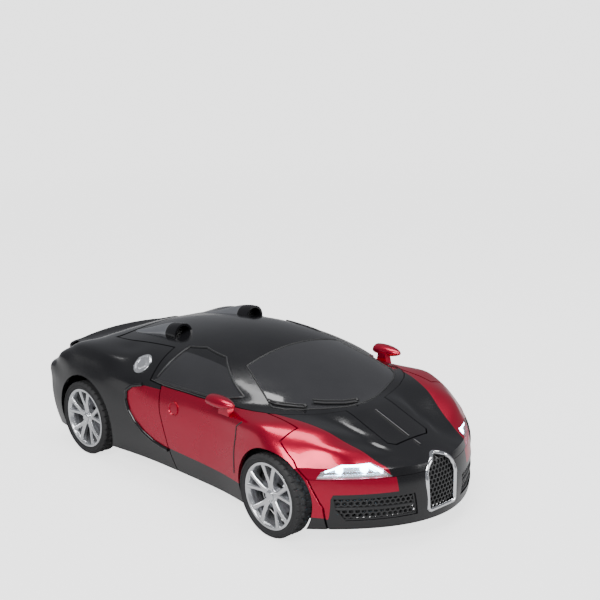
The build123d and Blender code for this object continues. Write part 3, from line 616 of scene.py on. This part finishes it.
CAP_RINGS = mm([(-0.6, 0), (-0.6, 5.6), (0.7, 5.6), (0.9, 5.3), (0.9, 4.5), (0.4, 4.3), (0.4, 3), (1, 2.7), (1, 0)])
CAP_SCREW = mm([(0.2, 0), (0.2, 0.45), (1.2, 0.45), (1.3, 0)])
PULL_CUP = mm([(-1, 0), (-1, 2.4), (0.1, 3), (0.6, 3.4), (0.4, 3.8), (-0.4, 3.9)])
DOOR_LINE = mm([(53.7, 51), (50, 48), (48.6, 34), (48.4, 22.5)])
WINDOW = mm([(-21, 53.6), (28, 54.8), (41, 57.1), (13, 68.4), (-4, 69.8), (-15, 68.6), (-21, 53.6)])
HAUNCH = mm([(-29, 50), (-36.5, 48), (-40.8, 44.6), (-40.8, 40), (-38.3, 34.3), (-33.8, 29.2), (-27.2, 24.7),
             (-19.2, 21.7), (-11.2, 20.3), (-6.2, 20)])
for name, side in SIDES:
    # fuel cap: stepped ring and screws, square to the skin
    on_cap = square_to(*meet(finder("fuel_caps"), (-0.037, side * 0.049, ABOVE), DOWN), (1, 0, 0))
    bm = bmesh.new()
    lathe(bm, CAP_RINGS, 48, on_cap)
    studs(bm, 6, 0.0049, CAP_SCREW, 8, on_cap)
    piece(f"fuel_cap_{name}", bm, "rear_base", mats["silver_plastic"], smooth=35)
    # round door pull with a recessed cup
    door = finder(f"arm_panel_{name}")
    on_door = square_to(*meet(door, (-0.002, side * BESIDE, 0.0435), (0, -side, 0)), (0, 0, 1))
    bm = bmesh.new()
    lathe(bm, PULL_CUP, 32, on_door)
    piece(f"door_pull_{name}", bm, f"{name}_arm", mats["red_gloss"], smooth=40)
    # shut line between door and fender, as an inlaid black bead: painted shade, a black line standing for the shade in
    # the panel's groove
    shut_line_shade_path = from_side([door], side, walk(DOOR_LINE, 8), 0.00002)
    bead(f"door_shut_line_painted_shade_{name}", f"{name}_arm", shut_line_shade_path, 0.00035, mesh_black, sides=6)
    frame_line = from_side([glass, roof], side, walk(WINDOW, 10), 0.0001)
    bead(f"window_frame_{name}", "torso", frame_line, 0.0006, mesh_black)
    # raised black flange round the crescent on the haunch
    flange = from_side([finder("side_inserts"), finder(f"rear_fender_{name}")], side, walk(HAUNCH, 5), 0.0002)
    bead(f"haunch_flange_{name}", "rear_base", flange, 0.0010, mats["black_gloss"], sides=10)


def in_mouth(y, z, sink):
    """Point on the plane across the air scoops' mouths."""
    return Vector((SCOOP_X - sink, y, z))


bm = bmesh.new()
for sign in (1, -1):
    outline = [(sign * (SCOOP_Y + 0.0044 * a), SCOOP_Z + 0.0040 * b) for a, b in turned(1.0, 24)]
    honeycomb(bm, outline, 0.0009, 0.00022, in_mouth, 0.0006)
    sheet(bm, outline, in_mouth, 0.0010)
piece("scoop_meshes", bm, "torso", mesh_black)

SCREEN_EDGE = mm([(27, 31), (45, 37.5), (57, 41.3), (63, 38), (67.8, 31.8), (72.6, 21), (76.8, 10), (78, 0)])
border = SCREEN_EDGE + [(x, -y) for x, y in SCREEN_EDGE[-2::-1]] + SCREEN_EDGE[:1]
path = from_above([screen, roof], walk(border, 8), floor=0.049)
bead("windscreen_seal", "torso", path + path[:1], 0.00045, mats["black_plastic"])

# ---------------------------------------------------------------- tail: mesh, fins, exhausts
tail_trees = [finder(n) for n in ("tail_bumper", "rear_deck", "rear_fender_left", "rear_fender_right", "tail_lights")]


def on_tail(y, z, sink):
    """Point on the tail seen from behind, sunk ahead of it."""
    hits = [tree.ray_cast(Vector((-AHEAD, y, z)), Vector((1, 0, 0)))[0] for tree in tail_trees]
    return Vector((min(hit.x for hit in hits if hit) + sink, y, z))


bm = bmesh.new()
TAIL_MESH = mm([(-36, 25), (36, 25), (39, 33), (37, 34.5), (-37, 34.5), (-39, 33)])
honeycomb(bm, TAIL_MESH, 0.0013, 0.00034, lambda y, z, sink: on_tail(y, z, sink - 0.0001), 0.0007)
for sign in (1, -1):       # fins under the mesh
    for k in range(3):
        y = sign * (0.016 + k * 0.009)
        prism(bm, rect(y - 0.0007, y + 0.0007, 0.0100, 0.0175), -0.0012, 0.002, on_tail)
piece("tail_mesh", bm, "rear_base", mesh_black, smooth=30)
path = [on_tail(y, z, 0.0006) for y, z in walk(TAIL_MESH + TAIL_MESH[:1], 10)]
bead("tail_mesh_frame", "rear_base", path + path[:1], 0.0007, mats["black_gloss"])
bm = bmesh.new()
for sign in (1, -1):
    spot = on_tail(sign * 0.0065, 0.0165, 0.0)
    lathe(bm, mm([(-1, 3), (1.6, 3), (1.8, 2.7), (1.6, 2.3), (-0.6, 2.2), (-0.6, 0)]), 32,
          lambda along, a, b: spot + Vector((-along, a * 1.7, b)))
piece("exhausts", bm, "rear_base", chrome, smooth=40)


# ---------------------------------------------------------------- robot front: armour under the cabin
def plate(bm, outline, low, high, inset=0.0008, drop=0.0006):
    """Armour slab lying flat under the car: outline in (x, y), chamfered on its lower face."""
    cx = sum(x for x, _ in outline) / len(outline)
    cy = sum(y for _, y in outline) / len(outline)

    def shrink(x, y):
        away = Vector((x - cx, y - cy))
        step = away.normalized() * inset
        return (x - step.x, y - step.y) if away.length > inset else (x, y)

    top = [bm.verts.new((x, y, high)) for x, y in outline]
    side = [bm.verts.new((x, y, low + drop)) for x, y in outline]
    face = [bm.verts.new((*shrink(x, y), low)) for x, y in outline]
    bands(bm, [top, side, face])
    bm.faces.new(top[::-1])
    bm.faces.new(face)


def mirrored(outline):
    """The same outline on the car's other side."""
    return [(x, -y) for x, y in reversed(outline)]


def pair(bm, outline, low, high, **shape):
    """A plate on each side of the car."""
    plate(bm, outline, low, high, **shape)
    plate(bm, mirrored(outline), low, high, **shape)


ARM_LOW, ARM_HIGH = (corner.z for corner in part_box("belly_armor"))


def jewel(name, x, radius):
    """Round red stone in a silver collar, facing down under the car."""
    def place(along, a, b):
        return Vector((x + a, b, ARM_LOW + 0.0016 - along))
    bm = bmesh.new()
    lathe(bm, [(-0.0010, radius * 0.98), (0.0016, radius * 0.98), (0.0014, radius * 1.18), (0.0006, radius * 1.32),
               (-0.0010, radius * 1.34)], 40, place, closed=True)
    piece(f"{name}_collar", bm, "torso", mats["silver_plastic"], smooth=40)
    bm = bmesh.new()
    lathe(bm, [(-0.0010, radius), (0.0006, radius), (0.0013, radius * 0.82), (0.0018, radius * 0.45), (0.0020, 0.0)],
          40, place)
    # the stone's faint glow is painted light, not a lamp
    piece(name, bm, "torso", jewel_red_painted_glow, smooth=60)


bm = bmesh.new()
pair(bm, mm([(33.7, 7.2), (33.7, 29.6), (30.2, 29.8), (26.2, 26.2), (24, 7.2)]), ARM_LOW + 0.0003, ARM_HIGH,
     inset=0.0012)
pair(bm, mm([(23.4, 6.8), (25.4, 26.2), (26.2, 28.6), (21.2, 28.2), (16, 24), (15, 6.6)]), ARM_LOW + 0.0001, ARM_HIGH,
     inset=0.0012)
pair(bm, mm([(14.4, 6.6), (15.2, 23.8), (9.8, 25), (4.4, 17.6), (3.6, 7.8)]), ARM_LOW + 0.0004, ARM_HIGH, inset=0.0012)
pair(bm, mm([(31.8, 11), (30, 25), (27.2, 23.2), (26.8, 10.5)]), ARM_LOW - 0.0001, ARM_LOW + 0.0010, inset=0.0008)
pair(bm, mm([(12.6, 9.8), (13, 20.5), (8.8, 19.6), (6.8, 10.5)]), ARM_LOW, ARM_LOW + 0.0010, inset=0.0008)
belly = piece("belly_plates", bm, "torso", mats["red_gloss"], bevel=0.0003)
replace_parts(belly, "belly_armor")
bm = bmesh.new()
plate(bm, mm([(33.7, -5.2), (26.2, -6.4), (19.6, -4.6), (13, -5.6), (3.4, -6.2),
              (3.4, 6.2), (13, 5.6), (19.6, 4.6), (26.2, 6.4), (33.7, 5.2)]), ARM_LOW + 0.0005, ARM_HIGH, inset=0.0008)
for k in range(4):
    x = 0.0316 - k * 0.0038
    plate(bm, [(x, 0.0), (x - 0.0012, 0.0040), (x - 0.0034, 0.0040), (x - 0.0022, 0.0), (x - 0.0034, -0.0040),
               (x - 0.0012, -0.0040)], ARM_LOW + 0.0001, ARM_LOW + 0.0012, inset=0.0003, drop=0.0003)
piece("belly_spine", bm, "torso", mats["dark_silver"], bevel=0.0003)
jewel("chest_jewel", 0.0092, 0.0031)

bm = bmesh.new()
plate(bm, mm([(1.4, -7.8), (-4.2, -10.8), (-7.4, -8.6), (-10, -4.2), (-14.8, -3.4),
              (-14.8, 3.4), (-10, 4.2), (-7.4, 8.6), (-4.2, 10.8), (1.4, 7.8)]),
      ARM_LOW + 0.0002, ARM_HIGH, inset=0.0010)
for k in range(5):
    y = -0.0062 + k * 0.0031
    plate(bm, rect(0.0020, -0.0012, y - 0.0011, y + 0.0011), ARM_LOW - 0.0001, ARM_LOW + 0.0010, inset=0.0003,
          drop=0.0003)
POD = mm([(1.8, 10.2), (2.2, 26.2), (-1.8, 32.8), (-10.4, 31.8), (-11.2, 21.2), (-5, 12.4)])
for sign in (1, -1):       # louvred pods on the hips
    outline = POD if sign > 0 else mirrored(POD)
    cx, cy = sum(x for x, _ in outline) / 6, sum(y for _, y in outline) / 6
    rim_line = [(cx + (x - cx) * 0.94, cy + (y - cy) * 0.95) for x, y in outline]
    inner_line = [(cx + (x - cx) * 0.76, cy + (y - cy) * 0.80) for x, y in outline]
    rings = [[bm.verts.new((x, y, z)) for x, y in line] for line, z in
             ((outline, ARM_HIGH), (outline, ARM_LOW + 0.0009), (rim_line, ARM_LOW + 0.0002),
              (inner_line, ARM_LOW + 0.0002), (inner_line, ARM_LOW + 0.0014))]
    bands(bm, rings)
    bm.faces.new(rings[-1])
    bm.faces.new(rings[0][::-1])
    for row in range(3):
        for k in range(6):
            x, y = cx + 0.0026 - row * 0.0027 - 0.0002 * k, cy + sign * (-0.0072 + k * 0.0027)
            if inside(inner_line, x - 0.0010, y) and inside(inner_line, x + 0.0010, y):
                plate(bm, [(x + 0.0010, y - 0.0008), (x - 0.0010, y - 0.0002), (x - 0.0010, y + 0.0010),
                           (x + 0.0010, y + 0.0004)], ARM_LOW + 0.0006, ARM_LOW + 0.0016, inset=0.0002, drop=0.0002)
waist = piece("waist_armour", bm, "torso", mats["silver_plastic"], bevel=0.00022)
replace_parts(waist, "waist_plate")
jewel("waist_jewel", -0.0058, 0.0024)

bm = bmesh.new()
LEG_Y, LEG_HALF, KNEE_DIP = 0.0225, 0.011, 0.0012       # the rows of facets dip towards the middle of the leg


def dipped(x, y):
    return x - KNEE_DIP * (1 - abs(y - LEG_Y) / LEG_HALF), y


for low_x, high_x in ((-0.0292, -0.0192), (-0.0388, -0.0298), (-0.0484, -0.0394)):
    taper = 0.04 * abs((low_x + high_x) / 2 + 0.0338)
    for y0, y1, dip in ((0.0118 + taper, 0.01865, 0.0005), (0.0187, 0.0263, 0.0), (0.02635, 0.0330 - taper, 0.0005)):
        outline = [dipped(high_x, y0), dipped(high_x, y1), dipped(low_x, y1), dipped(low_x, y0)]
        pair(bm, outline, ARM_LOW + 0.0002 + dip, ARM_HIGH, inset=0.0002, drop=0.0003)
knees = piece("knee_plates", bm, "torso", red_clear, bevel=0.0003)
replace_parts(knees, "knee_armor")
bm = bmesh.new()
for x in (-0.0152, -0.0170):
    rib = [(x, 0.0110), (x, 0.0310), (x - 0.0010, 0.0315), (x - 0.0010, 0.0105)]
    pair(bm, rib, ARM_LOW + 0.0008, ARM_HIGH, inset=0.0002, drop=0.0003)
piece("thigh_ribs", bm, "torso", mats["black_plastic"], bevel=0.0002)
bm = bmesh.new()
pair(bm, mm([(-49.4, 10.6), (-50, 22.5), (-49.4, 34), (-53, 33.5), (-55.9, 22.5), (-53, 11.2)]), ARM_LOW + 0.0001,
     ARM_HIGH, inset=0.0014)
pair(bm, mm([(-50.6, 15), (-51.2, 22.5), (-50.6, 30), (-52.4, 29.5), (-54, 22.5), (-52.4, 15.5)]), ARM_LOW - 0.0002,
     ARM_LOW + 0.0010, inset=0.0006)
caps = piece("knee_cap_plates", bm, "torso", mats["silver_plastic"], bevel=0.0004)
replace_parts(caps, "knee_caps")
bm = bmesh.new()
for k in range(4):
    x = -0.0230 - k * 0.0078
    plate(bm, [(x - 0.0020, 0.0), (x, 0.0070), (x - 0.0046, 0.0070), (x - 0.0066, 0.0), (x - 0.0046, -0.0070),
               (x, -0.0070)], ARM_LOW + 0.0040, ARM_LOW + 0.0081, inset=0.0008, drop=0.0010)
piece("spine_chevrons", bm, "torso", mats["black_plastic"], bevel=0.0003)

# ---------------------------------------------------------------- head: helmet, face, crest
helmet_low, helmet_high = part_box("helmet")
HEAD_Z, HEAD_R = (helmet_low.z + helmet_high.z) / 2, (helmet_high.z - helmet_low.z) / 2
NECK_X, CROWN_X = helmet_low.x, helmet_high.x


def head_form(bm, stations, sides=28):
    """Head built of rings across the neck axis: (x share, half width, forward, backward). The face looks down."""
    rings = []
    for share, wide, front, rear in stations:
        x = NECK_X + (CROWN_X - NECK_X) * share
        ring = []
        for k in range(sides):
            t = 2 * math.pi * k / sides
            c, s = math.cos(t), math.sin(t)
            y = wide * math.copysign(abs(c) ** 0.8, c)
            z = HEAD_Z + (rear if s > 0 else front) * math.copysign(abs(s) ** 0.85, s)
            ring.append(bm.verts.new((x, y, z)))
        rings.append(ring)
    bands(bm, rings)
    bm.faces.new(rings[0][::-1])
    bm.faces.new(rings[-1])


R = HEAD_R * 0.97
bm = bmesh.new()
head_form(bm, [(0.0, 0.62 * R, 0.50 * R, 0.62 * R), (0.10, 0.74 * R, 0.62 * R, 0.74 * R),
               (0.30, 0.84 * R, 0.66 * R, 0.86 * R), (0.52, 0.90 * R, 0.62 * R, 0.93 * R),
               (0.66, 0.90 * R, 0.74 * R, 0.93 * R), (0.80, 0.82 * R, 0.76 * R, 0.84 * R),
               (0.91, 0.62 * R, 0.52 * R, 0.62 * R), (0.985, 0.34 * R, 0.22 * R, 0.34 * R)])
for sign in (1, -1):       # ear pods and cheek guards
    lathe(bm, mm([(0, 0), (0, 3.2), (1.2, 3), (1.4, 1.8), (0.9, 1.4), (0.9, 0)]), 20,
          lambda along, a, b: Vector((NECK_X + 0.0125 + a, sign * (0.82 * R + along), HEAD_Z + b)))
    prism(bm, mm([(3, -1.5), (15.5, -3), (16.5, -6.8), (11, -8.3), (4.5, -7.2)]), 0.0058, 0.0079,
          lambda u, v, w: Vector((NECK_X + u, sign * w, HEAD_Z + v)))
helmet = piece("helmet_shell", bm, "head", mats["dark_silver"], bevel=0.0003, smooth=45)
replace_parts(helmet, "helmet")
bm = bmesh.new()
head_form(bm, [(0.04, 0.30 * R, 0.66 * R, 0.1 * R), (0.12, 0.44 * R, 0.80 * R, 0.1 * R),
               (0.22, 0.50 * R, 0.84 * R, 0.1 * R), (0.27, 0.52 * R, 0.80 * R, 0.1 * R),
               (0.33, 0.54 * R, 0.83 * R, 0.1 * R), (0.44, 0.55 * R, 0.82 * R, 0.1 * R),
               (0.53, 0.56 * R, 0.72 * R, 0.1 * R), (0.60, 0.56 * R, 0.74 * R, 0.1 * R)], 24)
prism(bm, mm([(7.8, -7.8), (14, -7.8), (13.2, -9.2), (8.5, -9.6)]), -0.0009, 0.0009,
      lambda u, v, w: Vector((NECK_X + u, w, HEAD_Z + v)))
face = piece("face_mask", bm, "head", mats["gold_plastic"], bevel=0.0003, smooth=45)
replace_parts(face, "face_plate")
bm = bmesh.new()
for sign in (1, -1):
    prism(bm, mm([(13.2, 1.4), (15, 1), (15.8, 4.4), (14.2, 4.2)]), -0.0081, -0.0066,
          lambda u, v, w: Vector((NECK_X + u, sign * v, HEAD_Z + w)))
# the eyes' green glow is painted light, not a lamp
piece("eyes", bm, "head", eye_green_painted_glow, bevel=0.0002)
bm = bmesh.new()
prism(bm, mm([(15.5, -7.8), (23.5, -6.5), (25, -3), (18, -9)]), -0.0008, 0.0008,
      lambda u, v, w: Vector((NECK_X + u, w, HEAD_Z + v)))
for sign in (1, -1):
    prism(bm, mm([(16, 1), (16.6, 1), (20.5, 5.8), (19.2, 6.2)]), -0.0084, -0.0066,
          lambda u, v, w: Vector((NECK_X + u, sign * v, HEAD_Z + w)))
piece("crest", bm, "head", mats["gold_plastic"], bevel=0.0002)

# ---------------------------------------------------------------- foot plate: toes, links and vents
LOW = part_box("foot_toes")[0].z
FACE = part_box("foot_plate")[0].z + 0.0017       # lower face of the plate
ROLLER_X, ROLLER_Z = 0.0055, 0.0079
HINGE_X, HINGE_Z = -0.012, 0.0075
LINK_ENDS = (0.0352, 0.0318), (0.0246, 0.0262)
bm = bmesh.new()
for outline in (mm([(33, 15), (35, 13), (38.5, 13.8), (38.5, 25.6), (35, 26.2), (33, 23.6)]),
                mm([(39, 12.8), (44, 12.2), (46.6, 14.2), (44, 16), (39, 16)]),
                mm([(39, 16.6), (46.2, 16.8), (48.8, 18.4), (46.2, 20.2), (39, 20)]),
                mm([(39, 20.6), (45, 21), (47.4, 22.8), (45, 24.4), (39, 23.6)]),
                mm([(38.6, 24.2), (42, 25.8), (42.8, 28.2), (40.4, 28.4), (37.2, 26.2)])):
    pair(bm, outline, LOW, FACE + 0.0002, inset=0.0008, drop=0.0008)
toes = piece("toe_claws", bm, "foot", mats["white_plastic"], bevel=0.0004)
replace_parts(toes, "foot_toes")
bm = bmesh.new()
for outline in (mm([(30, 14), (30, 24), (25.2, 26.2), (23.6, 25), (25, 15)]),
                mm([(37.2, 32.2), (35.2, 33.6), (23, 27.2), (23.6, 24.6), (25.6, 24)]),
                mm([(23.6, 26.2), (21.8, 24.4), (16, 31.8), (18, 33)])):
    pair(bm, outline, LOW + 0.0004, FACE + 0.0002, inset=0.0004)
for sign in (1, -1):       # rivets along the links
    for t in (0.15, 0.50, 0.85):
        (x0, y0), (x1, y1) = LINK_ENDS
        x, y = x0 + (x1 - x0) * t, sign * (y0 + (y1 - y0) * t)
        lathe(bm, mm([(0, 0), (0, 0.9), (0.4, 0.9), (0.6, 0.6), (0.2, 0)]), 14,
              lambda along, a, b: Vector((x + a, y + b, LOW + 0.0004 - along)))
piece("foot_links", bm, "foot", mats["red_gloss"], bevel=0.0003)
bm = bmesh.new()
plate(bm, mm([(50, -8.5), (38.5, -8.5), (36, -6.5), (36, 6.5), (38.5, 8.5), (50, 8.5)]), LOW + 0.0002, FACE + 0.0002,
      inset=0.0008)
for x in (0.0460, 0.0410):
    plate(bm, rect(x, x - 0.0016, -0.0055, 0.0055), LOW - 0.0004, LOW + 0.0006, inset=0.0002, drop=0.0003)
plate(bm, rect(0.0320, 0.0160, -0.0130, 0.0130), LOW + 0.0008, FACE + 0.0002, inset=0.0006)
for k in range(3):
    x = 0.0305 - k * 0.0052
    for y in (-0.0090, 0.0, 0.0090):
        plate(bm, rect(x, x - 0.0030, y - 0.0038, y + 0.0038), LOW + 0.0001, LOW + 0.0012, inset=0.0003, drop=0.0003)
for y in (0.0140, 0.0318):       # cheeks that carry the roller and springs
    pair(bm, rect(0.0150, -0.0090, y - 0.0012, y + 0.0012), LOW + 0.0002, FACE + 0.0014, inset=0.0003)
piece("foot_panels", bm, "foot", mats["black_plastic"], bevel=0.0003)
bm = bmesh.new()
ribs = []
for k in range(48):
    t = 2 * math.pi * k / 48
    r = 0.0042 if k % 4 < 2 else 0.00385
    ribs.append((ROLLER_X + r * math.cos(t), ROLLER_Z + r * math.sin(t)))
prism(bm, ribs, -0.0122, 0.0122, lambda u, v, w: Vector((u, w, v)))
piece("foot_roller", bm, "foot", mats["black_gloss"], smooth=30)
bm = bmesh.new()
for sign in (1, -1):
    profile = []
    for k in range(6):
        y = 0.0160 + k * 0.0024
        profile += [(y, 0.0034), (y + 0.0003, 0.0041), (y + 0.0016, 0.0041), (y + 0.0019, 0.0034)]
    lathe(bm, [(0.0160, 0.0)] + profile + [(profile[-1][0], 0.0)], 36,
          lambda along, a, b: Vector((ROLLER_X + a, sign * along, ROLLER_Z + b)))
piece("foot_springs", bm, "foot", chrome, smooth=40)
bm = bmesh.new()
for y in (-0.030, -0.018, 0.0, 0.018, 0.030):
    lathe(bm, [(y - 0.0022, 0.00362), (y - 0.0020, 0.0039), (y + 0.0020, 0.0039), (y + 0.0022, 0.00362)], 40,
          lambda along, a, b: Vector((HINGE_X + a, along, HINGE_Z + b)), closed=True)
piece("foot_hinge_rings", bm, "foot", mats["black_plastic"], smooth=40)

# ---------------------------------------------------------------- fists: knuckles on each forearm block
for name, side in SIDES:
    box_low, box_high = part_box(f"fist_box_{name}")
    bm = bmesh.new()
    inner_y = min(abs(box_low.y), abs(box_high.y))
    for k in range(4):
        x = 0.0635 + k * 0.0066
        prism(bm, rect(x, x + 0.0052, 0.0105, 0.0235), inner_y - 0.0003, inner_y + 0.0020,
              lambda u, v, w: Vector((u, side * w, v)))
    piece(f"knuckles_{name}", bm, f"{name}_arm", mats["dark_silver"], bevel=0.0004)

# ---------------------------------------------------------------- stage, light, camera
FLOOR_HALF, FLOOR_FADE = 12.0, (0.35, 1.1)       # the paper fades into the backdrop away from the car
SKY_LIGHT = 0.27
FLOOR_LIFT, SKY_SEEN = 2.0, 2.6       # brightness for camera rays only, which lights nothing
bm = bmesh.new()
bmesh.ops.create_grid(bm, x_segments=1, y_segments=1, size=FLOOR_HALF)
floor_mesh = bpy.data.meshes.new("floor")
bm.to_mesh(floor_mesh)
bm.free()
floor = bpy.data.objects.new("floor", floor_mesh)
paper = surface("floor_paper", (0.50, 0.50, 0.50), 0.7, vary=0.01, bump=0.0)
tree = paper.node_tree
bsdf = tree.nodes["Principled BSDF"]
length = tree.nodes.new("ShaderNodeVectorMath")
length.operation = "LENGTH"
tree.links.new(tree.nodes.new("ShaderNodeTexCoord").outputs["Object"], length.inputs[0])
tree.links.new(remap(tree, length.outputs["Value"], FLOOR_FADE, (1.0, 0.0)), bsdf.inputs["Alpha"])
seen = tree.nodes.new("ShaderNodeLightPath").outputs["Is Camera Ray"]
bsdf.inputs["Emission Color"].default_value = (1.0, 1.0, 1.0, 1)
tree.links.new(compute(tree, "MULTIPLY", seen, FLOOR_LIFT), bsdf.inputs["Emission Strength"])
floor_mesh.materials.append(paper)
bpy.context.scene.collection.objects.link(floor)

world = bpy.data.worlds.new("studio")
bpy.context.scene.world = world
world.use_nodes = True
sky = world.node_tree
light = sky.nodes["Background"]
light.inputs["Color"].default_value, light.inputs["Strength"].default_value = (0.92, 0.94, 1.0, 1), SKY_LIGHT
plain = sky.nodes.new("ShaderNodeBackground")
plain.inputs["Color"].default_value, plain.inputs["Strength"].default_value = (1.0, 1.0, 1.0, 1), SKY_SEEN
choose = sky.nodes.new("ShaderNodeMixShader")
sky.links.new(sky.nodes.new("ShaderNodeLightPath").outputs["Is Camera Ray"], choose.inputs["Fac"])
sky.links.new(light.outputs["Background"], choose.inputs[1])
sky.links.new(plain.outputs["Background"], choose.inputs[2])
sky.links.new(choose.outputs["Shader"], sky.nodes["World Output"].inputs["Surface"])


def softbox(name, place, target, size, power):
    data = bpy.data.lights.new(name, "AREA")
    data.shape, data.size, data.size_y, data.energy = "RECTANGLE", size[0], size[1], power
    lamp = bpy.data.objects.new(name, data)
    lamp.location = place
    lamp.rotation_euler = (Vector(target) - Vector(place)).to_track_quat("-Z", "Y").to_euler()
    bpy.context.scene.collection.objects.link(lamp)


softbox("key", (0.5, -0.9, 0.9), (0, 0, 0.03), (0.7, 0.5), 16)
softbox("top", (-0.1, 0.1, 1.1), (0, 0, 0), (0.9, 0.5), 11)
softbox("front", (1.1, 0.5, 0.45), (0, 0, 0.05), (0.5, 0.4), 7)

# camera: direction, roll and place
AZIMUTH, ELEVATION, ROLL = math.radians(47.553), math.radians(14.78), math.radians(-1.279)
EYE = Vector((0.49373, -0.42104, 0.26044))
SENSOR, LENS = 36.0, 76.61       # millimetres
back = Vector((math.sin(AZIMUTH) * math.cos(ELEVATION), -math.cos(AZIMUTH) * math.cos(ELEVATION), math.sin(ELEVATION)))
right = Vector((math.cos(AZIMUTH), math.sin(AZIMUTH), 0))
up = back.cross(right)
right, up = right * math.cos(ROLL) + up * math.sin(ROLL), up * math.cos(ROLL) - right * math.sin(ROLL)
camera_data = bpy.data.cameras.new("camera")
camera_data.sensor_width, camera_data.lens, camera_data.clip_start = SENSOR, LENS, 0.02
camera = bpy.data.objects.new("camera", camera_data)
camera.matrix_world = Matrix.Translation(EYE) @ Matrix((right, up, back)).transposed().to_4x4()
bpy.context.scene.collection.objects.link(camera)
bpy.context.scene.camera = camera
